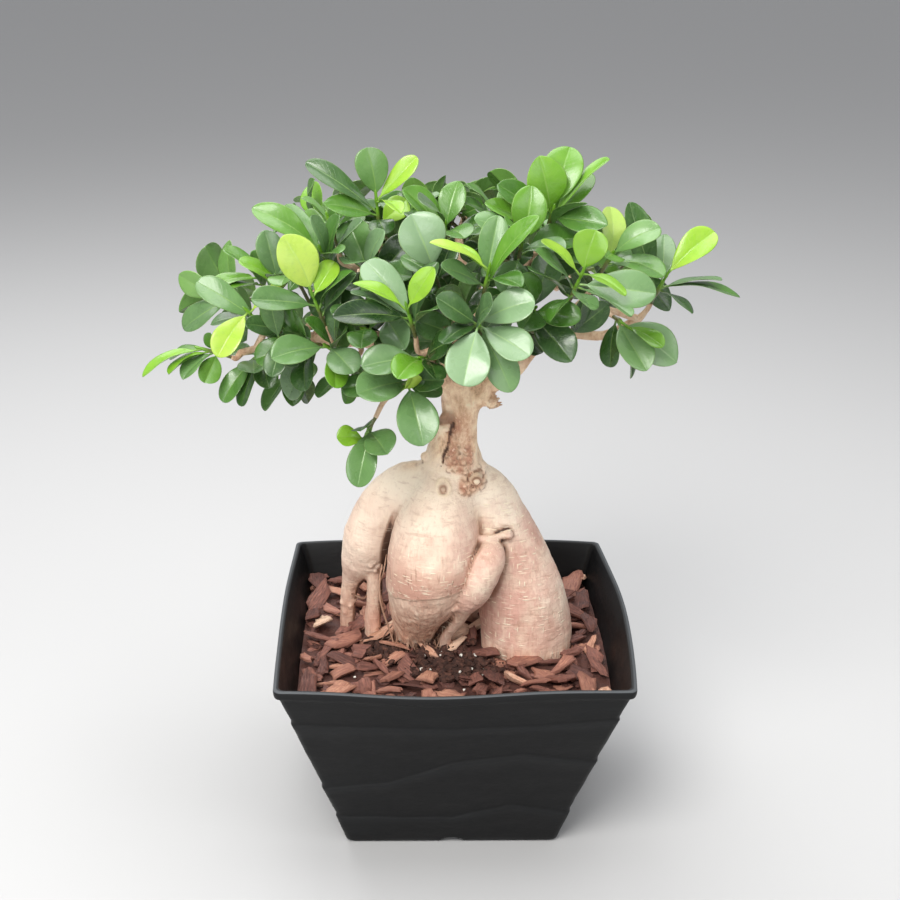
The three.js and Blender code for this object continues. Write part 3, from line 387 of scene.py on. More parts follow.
def leaf_finish(name, through):
    m = Finish(name, roughness=0.4, Coat_Weight=0.4, Coat_Roughness=0.14)
    across, along, tone, side, pale, stem = (m.number(key) for key in LEAF_NUMBERS)
    out = m.math("ABSOLUTE", across)
    cloud = m.noise((90, 90, 90), detail=2)
    mottle = m.noise((260, 260, 260), detail=4, rough=0.6)
    shade = m.plus(tone, m.times(m.math("SUBTRACT", cloud, 0.5), 0.16))
    m.base = m.ramp(shade, [(0.0, (30, 58, 22)), (0.2, (52, 92, 32)), (0.4, (80, 130, 42)), (0.6, (110, 164, 42)),
                            (0.8, (158, 206, 58)), (1.0, (208, 226, 104))])
    m.over(m.span(mottle, 0.5, 0.75, 0.0, 0.22), (136, 172, 96))
    # Painted sheen: a pale grey-green laid over leaves that catch the reflection of the light.
    m.over(m.times(pale, 0.8), (150, 180, 140))
    # Side veins leave the rib at a slant and bend toward the tip.
    slant = m.math("SUBTRACT", m.times(along, 13.0), m.times(m.math("POWER", out, 1.3), 2.6))
    wobble = m.times(m.noise((320, 320, 320), detail=1), 0.5)
    wave = m.math("PINGPONG", m.plus(slant, wobble), 0.5)
    vein = m.times(m.span(wave, 0.0, 0.13, 1.0, 0.0), m.span(out, 0.92, 0.6, 0.0, 1.0))
    m.over(m.times(vein, 0.07), (150, 186, 110))
    # The under side, the rib, a painted highlight along the edge, the foot and the bark of the stem
    m.over(m.times(m.span(side, 0.2, -0.2), 0.4), (126, 166, 96))
    m.over(m.times(m.span(out, 0.06, 0.015), m.span(along, 1.0, 0.3, 0.1, 0.42)), (164, 198, 112))
    m.over(m.times(m.span(out, 0.955, 0.99), 0.45), (170, 196, 112))
    m.over(m.times(m.span(along, 0.16, 0.05), 0.8), (132, 172, 78))
    m.over(stem, m.mix(m.noise((300, 300, 60)), (84, 88, 50), (120, 108, 74)))
    m.set("Base Color", m.base)
    m.set("Roughness", m.span(cloud, 0.3, 0.7, 0.24, 0.38))
    m.bump(m.plus(m.times(vein, -0.2), m.times(mottle, 0.9)), 0.3, 0.0006)
    glow = m.node("ShaderNodeBsdfTranslucent", {"Color": m.base})
    both = m.node("ShaderNodeMixShader", {0: through, 1: m.shader.outputs[0], 2: glow.outputs[0]})
    m.tree.links.new(both.outputs[0], m.tree.nodes["Material Output"].inputs["Surface"])
    return m.material


def wood_finish():
    m = Finish("grown_wood", roughness=0.62)
    neck, low, painted_shade_and_dark, line, pink, dash, high, band = (m.number(key) for key in WOOD_NUMBERS)
    cloud = m.noise((30, 30, 24), detail=4)
    patch = m.noise((48, 48, 40), detail=5, rough=0.65)
    grain = m.noise((520, 520, 60), detail=3)
    skin = m.noise((150, 150, 90), detail=5, rough=0.7)
    wrinkle = m.noise((90, 90, 420), detail=4, rough=0.6, distortion=0.4)
    specks = m.cells((190, 190, 230)).outputs["Distance"]
    m.base = m.ramp(cloud, [(0.3, (214, 178, 158)), (0.46, (236, 208, 186)), (0.6, (246, 226, 204)),
                            (0.74, (252, 240, 220))])
    m.over(m.times(m.times(m.span(patch, 0.34, 0.6), pink), 0.8), (206, 150, 136))
    m.over(m.span(skin, 0.5, 0.72, 0.0, 0.45), (180, 132, 112))
    m.over(m.span(grain, 0.52, 0.75, 0.0, 0.22), (250, 236, 214))
    m.over(m.span(grain, 0.46, 0.28, 0.0, 0.25), (166, 122, 96))
    # Painted light: the upper wood, which the crown shades, is painted lighter; the upper left root is lightened too.
    m.over(m.times(high, 0.6), (255, 240, 218))
    m.over(m.span(wrinkle, 0.52, 0.7, 0.0, 0.32), (176, 132, 108))
    m.over(m.span(specks, 0.16, 0.06, 0.0, 0.14), (120, 86, 64))
    # The old bark of the neck, its warts and their bright points; the bark's colours are set light to make up for the
    # crown's shade over the neck, which is painted light.
    m.over(m.times(neck, 0.9), m.ramp(skin, [(0.3, (160, 114, 84)), (0.44, (222, 182, 144)),
                                             (0.58, (250, 220, 184)), (0.72, (255, 242, 212))]))
    m.over(m.times(neck, m.times(pink, m.span(skin, 0.35, 0.6, 0.9, 0.3))), (200, 138, 114))
    spark = m.times(m.span(m.noise((420, 420, 420), detail=2), 0.6, 0.68), pink)
    m.over(m.times(spark, m.times(neck, 0.8)), (255, 226, 200))
    # Fibres low on the roots, the cracked band above the seam, and painted shade in the hollows
    fibre = m.noise((300, 300, 26), detail=5, rough=0.7)
    # Painted light: the fibre colours are set light to make up for the shade under the bulb.
    m.over(m.times(low, 0.85), m.ramp(fibre, [(0.32, (164, 112, 90)), (0.48, (232, 184, 156)),
                                              (0.64, (255, 230, 206))]))
    crack = m.times(m.span(m.noise((420, 420, 48), detail=3), 0.4, 0.33), band)
    m.over(m.times(band, 0.5), (206, 158, 136))
    m.over(m.times(crack, 0.6), (150, 102, 80))
    # Painted shade: hollows, creases, the slit, the pit of the eye scar, rings round warts and the boughs in the crown
    # are darkened; the same number also darkens the grooves of the cut stub and the root threads.
    m.over(m.span(painted_shade_and_dark, 0.05, 0.6, 0.0, 0.75), (150, 106, 80))
    m.over(m.span(painted_shade_and_dark, 0.55, 0.95, 0.0, 0.9), (70, 42, 30))
    # Short pale breathing pores lie level on the swollen roots, and some stand upright.
    marks = None
    for scale, channel, chance, width in PORES:
        row = m.cells(scale, randomness=0.95)
        mark = m.span(row.outputs["Distance"], width, width * 0.6)
        rare = m.node("ShaderNodeSeparateColor", {0: row.outputs["Color"]}).outputs[channel]
        rare = m.plus(rare, m.times(band, 0.3))
        mark = m.times(mark, m.span(rare, chance, chance + 0.08))
        marks = mark if marks is None else m.math("MAXIMUM", marks, mark)
    marks = m.times(m.times(marks, dash), m.span(m.noise((46, 46, 46)), 0.36, 0.56, 0.25, 0.85))
    m.over(marks, (255, 240, 214))
    # Pale marks: the seam, the rim of the eye scar, the lip, and painted highlights on the warts and the cut face of
    # the stub.
    m.over(m.times(line, 0.85), (255, 236, 208))
    m.set("Base Color", m.base)
    m.set("Roughness", m.span(patch, 0.3, 0.7, 0.42, 0.64))
    relief = m.plus(m.times(grain, 0.3), m.times(marks, 0.3))
    relief = m.plus(relief, m.times(wrinkle, -0.5))
    relief = m.plus(relief, m.times(m.noise((700, 700, 500), detail=4), 0.35))
    coarse = m.times(skin, m.plus(m.times(neck, 1.2), 0.3))
    m.bump(m.plus(relief, coarse), 0.8, 0.0014)
    return m.material


def pot_finish():
    m = Finish("black_plastic", roughness=0.5, Specular_IOR_Level=0.25)
    painted_edge_highlight = m.number("pot_edge")
    dust = m.noise((22, 22, 60), detail=5, rough=0.65)
    m.base = m.ramp(dust, [(0.3, (9, 9, 10)), (0.55, (13, 13, 14)), (0.75, (20, 21, 22))])
    # Painted highlight along the ledge edges and on the lip.
    m.over(m.times(painted_edge_highlight, 0.2), (60, 62, 64))
    m.over(m.span(painted_edge_highlight, 0.72, 1.0, 0.0, 0.55), (104, 108, 112))
    m.set("Base Color", m.base)
    m.set("Roughness", m.span(dust, 0.3, 0.7, 0.42, 0.6))
    fine = m.times(m.noise((1500, 1500, 1500), detail=2), 0.12)
    m.bump(m.plus(m.noise((130, 130, 260), detail=5, rough=0.6), fine), 0.18, 0.0012)
    return m.material


def chip_finish():
    """The grain runs along each chip, in the chip's own coordinates."""
    m = Finish("bark_chip", roughness=0.72)
    tone, face, along, across, layer = (m.number("chip_" + key) for key in ("tone", "face", "x", "y", "z"))
    own = {0: m.times(along, 0.12), 1: m.times(across, 0.9), 2: m.plus(m.times(layer, 1.4), m.times(tone, 91.0))}
    grain = m.noise(None, detail=4, rough=0.6, vector=m.node("ShaderNodeCombineXYZ", own).outputs[0])
    cloud = m.noise((110, 110, 110), detail=4)
    m.base = m.ramp(m.plus(tone, m.times(m.math("SUBTRACT", grain, 0.5), 0.8)),
                    [(0.0, (66, 40, 37)), (0.2, (106, 68, 60)), (0.4, (148, 98, 84)),
                     (0.6, (182, 128, 106)), (0.8, (214, 164, 136)), (1.0, (240, 206, 178))])
    m.over(m.span(cloud, 0.52, 0.75, 0.0, 0.5), (104, 68, 60))
    m.over(m.times(face, m.span(grain, 0.35, 0.65, 0.15, 0.6)), (104, 62, 50))
    m.set("Base Color", m.base)
    m.set("Roughness", m.span(cloud, 0.3, 0.7, 0.5, 0.85))
    m.bump(m.plus(grain, m.times(m.noise((800, 800, 800)), 0.3)), 0.7, 0.0012)
    return m.material


def soil_finish():
    m = Finish("compost", roughness=0.9)
    cloud = m.noise((260, 260, 260), detail=5, rough=0.7)
    m.base = m.ramp(cloud, [(0.3, (38, 22, 18)), (0.5, (70, 44, 36)), (0.7, (112, 74, 60))])
    m.over(m.number("perlite"), (236, 232, 222))
    m.set("Base Color", m.base)
    m.bump(m.noise((600, 600, 600), detail=5, rough=0.7), 0.8, 0.0015)
    return m.material


# CAMERA AXES

def camera_axes():
    """The camera's own x, y and z directions."""
    c, s = math.cos(CAMERA_YAW), math.sin(CAMERA_YAW)
    right, forward = np.array([c, s, 0]), np.array([-s, c, 0])
    look = forward * math.cos(CAMERA_PITCH) - UP * math.sin(CAMERA_PITCH)
    down = -(UP * math.cos(CAMERA_PITCH) + forward * math.sin(CAMERA_PITCH))
    c, s = math.cos(CAMERA_ROLL), math.sin(CAMERA_ROLL)
    return c * right - s * down, -(s * right + c * down), -look


def on_picture(points):
    """Where points in millimetres fall on the 900-pixel picture, and how far off they are."""
    x, y, z = camera_axes()
    off = np.asarray(points) * MM - np.array(CAMERA_PLACE)
    deep = -off @ z
    middle = PICTURE_PIXELS / 2
    return middle + FOCAL_PIXELS * (off @ x) / deep, middle - FOCAL_PIXELS * (off @ y) / deep, deep / MM


# LEAVES AND STEMS

def welded(node):
    """Points in millimetres and the neighbours of each point of a CAD node."""
    mesh = node.data
    points = np.zeros(len(mesh.vertices) * 3, np.float32)
    mesh.vertices.foreach_get("co", points)
    points = points.reshape(-1, 3).astype(float) / MM
    corners = np.zeros(len(mesh.loops), np.int64)
    mesh.loops.foreach_get("vertex_index", corners)
    _, first, index = np.unique(np.round(points * WELD_GRID).astype(np.int64), axis=0, return_index=True,
                                return_inverse=True)
    index = index.reshape(-1)
    near = [set() for _ in first]
    for polygon in mesh.polygons:
        ring = index[corners[polygon.loop_start:polygon.loop_start + polygon.loop_total]]
        for a, b in zip(ring, np.roll(ring, 1)):
            if a != b:
                near[a].add(int(b))
                near[b].add(int(a))
    return points[first], near


def inward(points, near, tip):
    """Rings of four from the tip of a leaf to the face of the stem, each as rib, edge, rib, edge."""
    ring = list(near[tip])
    if len(ring) != 4:
        return None
    pairs = sorted((np.linalg.norm(points[a] - points[b]), a, b) for i, a in enumerate(ring) for b in ring[i + 1:])
    gap, a, b = pairs[0]
    edges = [v for v in ring if v not in (a, b)]
    if abs(gap - RIB_THICK) > 0.012 or not all(e in near[r] for r in (a, b) for e in edges):
        return None
    rings = [(a, edges[0], b, edges[1])]
    used = {tip, *rings[0]}
    for _ in range(4):
        a, e, b, f = rings[-1]
        ribs = [near[a] - used, near[b] - used]
        if any(len(found) != 1 for found in ribs):
            break
        (a2,), (b2,) = ribs
        sides = [near[e] - used - {a2, b2}, near[f] - used - {a2, b2}]
        if any(len(found) != 1 for found in sides):
            break
        rings.append((a2, next(iter(sides[0])), b2, next(iter(sides[1]))))
        used.update(rings[-1])
    return rings


def leaf_from(points, near, tip):
    """What the CAD leaf with this tip says: its foot, axes, length, width and arch, or None."""
    rings = inward(points, near, tip)
    if rings is None:
        return None
    ribs = [(points[r[0]] + points[r[2]]) / 2 for r in rings]
    up = unit((points[rings[0][1]] + points[rings[0][3]]) / 2 - ribs[0])
    across = unit(points[rings[0][3]] - points[rings[0][1]])
    ahead = np.cross(up, across)
    if (points[tip] - ribs[0]).dot(ahead) < 0:
        across, ahead = -across, -ahead
    for count, shares in LEAF_RINGS.items():
        length = (points[tip] - ribs[0]).dot(ahead) / (1 - shares[-1])
        if len(rings) > 1:
            length = (points[tip] - ribs[1]).dot(ahead) / (1 - shares[-2])
        foot = points[tip] - ahead * length
        if len(rings) == 1 and count != 2 or abs((ribs[0] - foot).dot(ahead) / length - shares[-1]) > SHARE_PLAY:
            continue
        share, at = (shares[2], 1) if count == 4 else (shares[1], 0)
        half = np.linalg.norm(points[rings[at][1]] - points[rings[at][3]]) / 2
        arch = (ribs[at] - foot).dot(up) / (length * math.sin(math.pi * share) * 0.5)
        leaf = {"foot": foot, "ahead": ahead, "up": up, "across": across, "length": length,
                "width": 2 * half / (1.0 if count == 4 else PLAIN_SHARE), "arch": arch, "tip": points[tip],
                "rings": rings[:count]}
        if len(rings) > count and np.linalg.norm(points[list(rings[count])].mean(axis=0) - foot) < 0.2:
            leaf.update(stem_at(points, rings[count - 1], rings[count], leaf))
        return leaf
    return None


def stem_at(points, inner, face, leaf):
    """The line of the stem under a leaf, from the face of the stem that the leaf grows out of."""
    under, edge, top, other = face
    if (points[inner[0]] - points[inner[2]]).dot(leaf["up"]) > 0:
        under, top = top, under
    if (points[inner[1]] - points[inner[3]]).dot(leaf["across"]) > 0:
        edge, other = other, edge
    low, high = (points[under] + points[edge]) / 2, (points[top] + points[other]) / 2
    wide = points[edge] - points[under]
    axis = unit(high - low)
    out = unit(np.cross(wide, axis))
    if out.dot(leaf["ahead"]) < 0:
        out = -out
    return {"axis": axis, "centre": low - out * np.linalg.norm(wide) / 2}


def off_line(point, stem):
    """How far a point is from the line of a stem."""
    along = np.clip((point - stem["start"]).dot(stem["axis"]), 0, np.linalg.norm(stem["end"] - stem["start"]))
    return np.linalg.norm(point - stem["start"] - along * stem["axis"])


def read_shoots(node):
    """The leaves of a CAD node and the stems that bear them."""
    points, near = welded(node)
    leaves = [leaf for tip in range(len(points)) if (leaf := leaf_from(points, near, tip))]
    taken = {tuple(np.round(points[v], 3)) for leaf in leaves for ring in leaf["rings"] for v in ring}
    taken |= {tuple(np.round(leaf["tip"], 3)) for leaf in leaves}
    rest = np.array([p for p in points if tuple(np.round(p, 3)) not in taken])
    stems = []
    for leaf in leaves:
        if "axis" not in leaf:
            continue
        for stem in stems:
            if leaf["axis"].dot(stem["axis"]) > 0.995:
                stem["leaves"].append(leaf)
                break
        else:
            stems.append({"axis": leaf["axis"], "leaves": [leaf]})
    for stem in stems:
        stem["axis"] = axis = unit(sum(leaf["axis"] for leaf in stem["leaves"]))
        centre = sum(leaf["centre"] for leaf in stem["leaves"]) / len(stem["leaves"])
        along = (rest - centre).dot(axis)
        off = np.linalg.norm(rest - centre - along[:, None] * axis, axis=1)
        own = along[off < STEM_RADIUS * 1.15]
        stem["start"], stem["end"] = centre + axis * own.min(), centre + axis * own.max()
    for leaf in leaves:
        if "axis" not in leaf:
            min(stems, key=lambda s: off_line(leaf["foot"], s))["leaves"].append(leaf)
    return stems


def leaf_faces():
    rows, columns = len(LEAF_ROWS), len(LEAF_COLUMNS)
    tip = rows * columns + rows * (columns - 2)

    def top(r, c):
        return r * columns + c

    def below(r, c):
        return top(r, c) if c in (0, columns - 1) else rows * columns + r * (columns - 2) + c - 1

    faces = []
    for r in range(rows - 1):
        for c in range(columns - 1):
            faces.append((top(r, c), top(r, c + 1), top(r + 1, c + 1), top(r + 1, c)))
            faces.append((below(r, c), below(r + 1, c), below(r + 1, c + 1), below(r, c + 1)))
    for c in range(columns - 1):
        faces.append((top(rows - 1, c), top(rows - 1, c + 1), tip))
        faces.append((below(rows - 1, c), tip, below(rows - 1, c + 1)))
    faces.append(tuple(top(0, c) for c in range(columns - 1, -1, -1))
                 + tuple(below(0, c) for c in range(1, columns - 1)))
    return faces


LEAF_FACES = leaf_faces()


def fine_leaf(leaf, draw):
    """Points and numbers of one leaf with a stalk, a grooved rib and a thin rolled blade."""
    s = np.array(LEAF_ROWS)[:, None]
    u = np.array(LEAF_COLUMNS)[None, :]
    length, width = leaf["length"], leaf["width"]
    t = np.clip((s - PETIOLE) / (1 - PETIOLE), 0, 1)
    blunt = 0.46 + 0.26 * draw.random() ** 2
    fullness = 0.78 + 0.16 * draw.random()
    peak = fullness / (fullness + blunt)
    most = peak ** fullness * (1 - peak) ** blunt
    blade = t ** fullness * (1 - t) ** blunt / most
    half = np.maximum(width / 2 * blade, np.where(t < 0.3, 0.75, 0.2))
    half[-1] = max(half[-1, 0], width * 0.06)
    is_blade = smooth(0.1, 0.2, s)
    curl = 0.6 + 1.2 * draw.random()
    lift = 0.22 * half * (1.5 * np.abs(u) - 0.55 * u * u) * curl * is_blade
    ripple = 0.6 * np.sin(s * 9 + draw.random() * 6 + 1.4 * np.sign(u)) * np.abs(u) ** 2 * is_blade
    sway = (draw.random() - 0.5) * 0.05 * length * np.sin(math.pi * s)
    twist = (draw.random() - 0.5) * 0.25 * u * half * s
    droop = leaf["arch"] * length * np.sin(math.pi * s) * 0.5
    middle = droop + lift + ripple + twist
    thick = lerp(0.5, 0.26, np.abs(u) ** 1.5) + 0.5 * ridge(u, 0, 0.1) * (1 - 0.6 * s)
    stalk = 1.5 * np.sqrt(np.clip(1 - u * u, 0, 1))
    thick = lerp(stalk, thick, is_blade) * np.where(np.abs(u) > 0.999, 0.0, 1.0)
    groove = 0.22 * ridge(u, 0, 0.09) * is_blade
    top = middle + thick * 0.42 - groove
    below = middle - thick * 0.58
    inset = 1.2
    along = s * (length + inset) - inset
    w = u * half + sway

    def place(height):
        return (leaf["foot"] + along[..., None] * leaf["ahead"] + w[..., None] * leaf["across"]
                + height[..., None] * leaf["up"])

    upper = place(top).reshape(-1, 3)
    lower = place(below)[:, 1:-1].reshape(-1, 3)
    points = np.vstack([upper, lower, leaf["tip"][None]])
    columns = u.repeat(len(LEAF_ROWS), axis=0)
    rows = s.repeat(len(LEAF_COLUMNS), axis=1)
    across = np.concatenate([columns.ravel(), columns[:, 1:-1].ravel(), [0.0]])
    share = np.concatenate([rows.ravel(), rows[:, 1:-1].ravel(), [1.0]])
    side = np.concatenate([np.where(np.abs(columns.ravel()) > 0.999, 0.3, 1.0), -np.ones(len(lower)), [0.3]])
    return points, across, share, side


# Leaves that stand out: place on the picture, tone from dark to yellow, and strength of the painted sheen.
LEAF_LOOKS = [
    (370, 168, 0.44, 0.3), (335, 177, 0.2, 0.1), (310, 200, 0.6, 0), (280, 220, 0.5, 0.1), (266, 257, 0.3, 0.5),
    (321, 229, 0.3, 0.5), (246, 268, 0.62, 0), (235, 282, 0.55, 0.1), (218, 294, 0.4, 0.35), (242, 249, 0.3, 0.1),
    (167, 359, 0.5, 0), (184, 359, 0.66, 0), (220, 370, 0.5, 0.1), (423, 232, 0.3, 1.0), (381, 248, 0.3, 0.7),
    (384, 270, 0.3, 0.9), (370, 312, 0.0, 0.0), (330, 322, 0.2, 0.2), (297, 350, 0.38, 0.3), (345, 362, 0.3, 0.5),
    (379, 356, 0.36, 0.5), (379, 388, 0.4, 0.4), (417, 415, 0.38, 0.4), (401, 370, 0.56, 0), (334, 378, 0.6, 0),
    (412, 335, 0.3, 0.5), (253, 370, 0.35, 0.35), (236, 384, 0.4, 0.1), (380, 444, 0.42, 0.35), (361, 466, 0.4, 0.3),
    (452, 195, 0.45, 0.1), (570, 160, 0.58, 0.05), (596, 172, 0.6, 0), (545, 175, 0.6, 0), (525, 200, 0.52, 0),
    (500, 205, 0.5, 0), (560, 215, 0.48, 0), (587, 215, 0.4, 0.1), (610, 210, 0.9, 0.3), (635, 235, 0.46, 0.35),
    (665, 245, 0.3, 0.5), (695, 283, 0.3, 0.4), (720, 283, 0.5, 0), (520, 235, 0.5, 0), (490, 232, 0.4, 0.4),
    (627, 285, 0.34, 0.45), (545, 300, 0.2, 0.2), (510, 305, 0.36, 0.8), (455, 305, 0.2, 0.15), (465, 362, 0.4, 1.0),
    (508, 342, 0.36, 0.8), (502, 375, 0.36, 0.5), (638, 364, 0.46, 0.5), (668, 345, 0.36, 0.6), (555, 345, 0.14, 0.1),
    (425, 200, 0.45, 0), (590, 247, 0.7, 0.05), (557, 250, 0.82, 0), (608, 285, 0.68, 0), (422, 285, 0.78, 0),
    (455, 246, 0.78, 0), (400, 170, 0.82, 0), (395, 206, 0.8, 0), (295, 262, 0.93, 0.1), (326, 274, 0.8, 0),
    (228, 335, 0.88, 0), (378, 292, 0.76, 0), (695, 247, 0.82, 0), (648, 335, 0.6, 0), (348, 435, 0.7, 0),
]
# Where the crown is fresher: place on the picture and reach
FRESH_PLACES = ((545, 180, 60), (275, 235, 50), (185, 360, 36), (600, 270, 40), (235, 285, 40), (330, 200, 34))


def give_looks(leaves):
    """Finds the foremost leaf at the place of each row of the looks."""
    x, y, z = camera_axes()
    origin = np.array(CAMERA_PLACE) / MM
    foot, ahead, up, across = (np.array([leaf[key] for leaf in leaves]) for key in ("foot", "ahead", "up", "across"))
    length, width = (np.array([leaf[key] for leaf in leaves]) for key in ("length", "width"))
    for u, v, tone, pale in LEAF_LOOKS:
        ray = x * (u - PICTURE_PIXELS / 2) / FOCAL_PIXELS - y * (v - PICTURE_PIXELS / 2) / FOCAL_PIXELS - z
        far = ((foot - origin) * up).sum(axis=1) / (up @ ray)
        met = origin + far[:, None] * ray - foot
        along, aside = (met * ahead).sum(axis=1) / length, np.abs((met * across).sum(axis=1)) / (width / 2)
        far[(along < 0.15) | (along > 0.97) | (aside > 0.9)] = np.inf
        if far.min() < np.inf:
            leaves[int(far.argmin())]["look"] = (tone, pale)


def middle_of(leaf):
    return leaf["foot"] + 0.55 * leaf["length"] * leaf["ahead"]


def freshness(leaf):
    u, v, _ = on_picture(middle_of(leaf))
    return max(math.exp(-((u - x) ** 2 + (v - y) ** 2) / reach ** 2) for x, y, reach in FRESH_PLACES)


def leafy_piece(name, node, stems, finish, slot, tones, draw):
    """The stems and fine leaves that stand for a CAD node; a node without leaves only takes the finish."""
    if not stems:
        node.data.materials.clear()
        node.data.materials.append(finish)
        return
    build = Builder()
    young = slot == "young_leaf"
    for stem in stems:
        start, end, axis = stem["start"], stem["end"], stem["axis"]
        length = np.linalg.norm(end - start)
        share = np.linspace(0, 1, 13)
        radii = np.array([lerp(STEM_RADIUS, 1.05, t) for t in share]) * (0.62 if young else 0.85)
        knots = [(leaf["foot"] - start).dot(axis) / length for leaf in stem["leaves"]]
        for knot in knots:
            radii += 0.35 * np.exp(-((share - knot) * length / 1.6) ** 2)
        path = start + np.outer(share, end - start)
        path[0] -= axis * 1.2
        bud = end + axis * (5.5 if young else 4.2)
        path = np.vstack([path, lerp(end, bud, 0.45), lerp(end, bud, 0.8), bud])
        radii = np.concatenate([radii, [radii[-1] * 1.05, radii[-1] * 0.55, 0.12]])
        points, faces = tube(path, radii, 8, seed=3, rough=0.05)
        green = smooth(0.55, 1.0, np.repeat(np.concatenate([share, [1.1, 1.2, 1.3]]), 8))
        if young:
            green = np.ones(len(points))
        build.add(points, faces, leaf_u=0.5, leaf_s=0.4, leaf_tone=0.62, leaf_side=1.0, leaf_pale=0.0,
                  leaf_stem=(1 - green) * 0.9)
        for leaf in stem["leaves"]:
            tone, pale = tones(leaf, stem, draw)
            tone, pale = leaf.get("look", (tone, pale))
            points, across, along, side = fine_leaf(leaf, draw)
            build.add(points, LEAF_FACES, leaf_u=across, leaf_s=along, leaf_tone=tone, leaf_side=side,
                      leaf_pale=pale, leaf_stem=0.0)
    build.make(name, finish, [node.name])


def plain_tones(leaf, stem, draw):
    """Tone and painted sheen of a grown leaf; leaves near the end of a stem are younger."""
    high = (leaf["foot"] - stem["start"]).dot(stem["axis"]) / np.linalg.norm(stem["end"] - stem["start"])
    fresh = max(freshness(leaf), 1.0 * (leaf["foot"][1] > 20 and draw.random() < 0.16))
    return 0.06 + 0.26 * draw.random() + 0.1 * high + 0.26 * fresh, 0.4 * draw.random() ** 3


def young_tones(leaf, stem, draw):
    return 0.74 + 0.18 * draw.random(), 0.0


def surrounded(points, others, reach):
    """True where the leaves already there close a point in on all four sides, seen from three directions."""
    good = np.ones(len(points), bool)
    for seen in ((0, 2), (1, 2), (0, 1)):
        gap = others[None, :, seen] - points[:, None, seen]
        near = (gap ** 2).sum(axis=2) < reach ** 2
        for right in (False, True):
            for above in (False, True):
                quarter = near & ((gap[..., 0] > 0) == right) & ((gap[..., 1] > 0) == above)
                good &= quarter.any(axis=1)
    return good


def add_inner_leaves(shoots, boughs, finish, draw):
    """Small sprays on short twigs in the depth of the crown, where the leaves already there leave room."""
    build = Builder()
    tree = []
    for stems in shoots.values():
        for stem in stems:
            for leaf in stem["leaves"]:
                s, u = np.meshgrid((0.1, 0.3, 0.5, 0.7, 0.9), (-0.7, 0.0, 0.7), indexing="ij")
                wide = leaf["width"] / 2 * np.sin(math.pi * np.clip(s, 0.1, 0.92) ** 0.9)
                tree.append((leaf["foot"] + (s * leaf["length"])[..., None] * leaf["ahead"]
                             + (u * wide)[..., None] * leaf["across"]).reshape(-1, 3))
    others = np.concatenate(tree)
    whole = others[::3]
    lines = [line for line, _ in boughs]
    count = 0
    for _ in range(INNER_TRIES):
        line = lines[int(draw.integers(len(lines)))]
        start = line[int(draw.integers(len(line) // 3, len(line)))]
        turn, rise = draw.random() * 2 * math.pi, 0.1 + 0.9 * draw.random()
        along = unit(np.array([math.cos(turn), math.sin(turn), rise]))
        tip = start + along * (9 + 22 * draw.random())
        side = unit(np.cross(along, UP))
        other = np.cross(side, along)
        first = draw.random() * 2 * math.pi
        made = []
        for k in range(5):
            angle = first + k * GOLDEN
            out = side * math.cos(angle) + other * math.sin(angle)
            ahead = unit(along * (0.35 + 0.4 * draw.random()) + out)
            up = unit(along - ahead * along.dot(ahead))
            length = 24 + 10 * draw.random()
            width = length * (0.5 + 0.1 * draw.random())
            foot = tip - along * (1.6 * k)
            leaf = {"foot": foot, "ahead": ahead, "up": up, "across": np.cross(ahead, up), "length": length,
                    "width": width, "arch": 0.06 * draw.random(), "tip": foot + ahead * length}
            s, u = np.meshgrid((0.3, 0.5, 0.7, 0.95), (-0.8, 0.0, 0.8), indexing="ij")
            test = foot + (s * length)[..., None] * ahead + (u * width / 2)[..., None] * leaf["across"]
            test = test.reshape(-1, 3)
            room = ((test[:, None] - others[None]) ** 2).sum(axis=2).min() > INNER_ROOM ** 2
            clear = all(np.linalg.norm(test[:, None] - line[None, ::2], axis=2).min() > 6 for line in lines)
            apart = all(((test[:, None] - done[None]) ** 2).sum(axis=2).min() > 9 for _, done in made)
            if room and clear and apart and surrounded(test, whole, INNER_REACH).all():
                made.append((leaf, test))
        if len(made) < 2:
            continue
        points, faces = tube([start, lerp(start, tip, 0.5) + UP * 0.8, tip, tip + along * 3], [1.7, 1.4, 1.2, 0.2], 7,
                             seed=5, rough=0.1)
        build.add(points, faces, leaf_u=0.5, leaf_s=0.4, leaf_tone=0.3, leaf_side=1.0, leaf_pale=0.0, leaf_stem=0.9)
        for leaf, test in made:
            points, across, share, face = fine_leaf(leaf, draw)
            build.add(points, LEAF_FACES, leaf_u=across, leaf_s=share, leaf_tone=0.05 + 0.3 * draw.random(),
                      leaf_side=face, leaf_pale=0.2 * draw.random(), leaf_stem=0.0)
            others = np.concatenate([others, test])
            count += 1
        if count >= INNER_COUNT:
            break
    build.make("inner_leaves", finish)


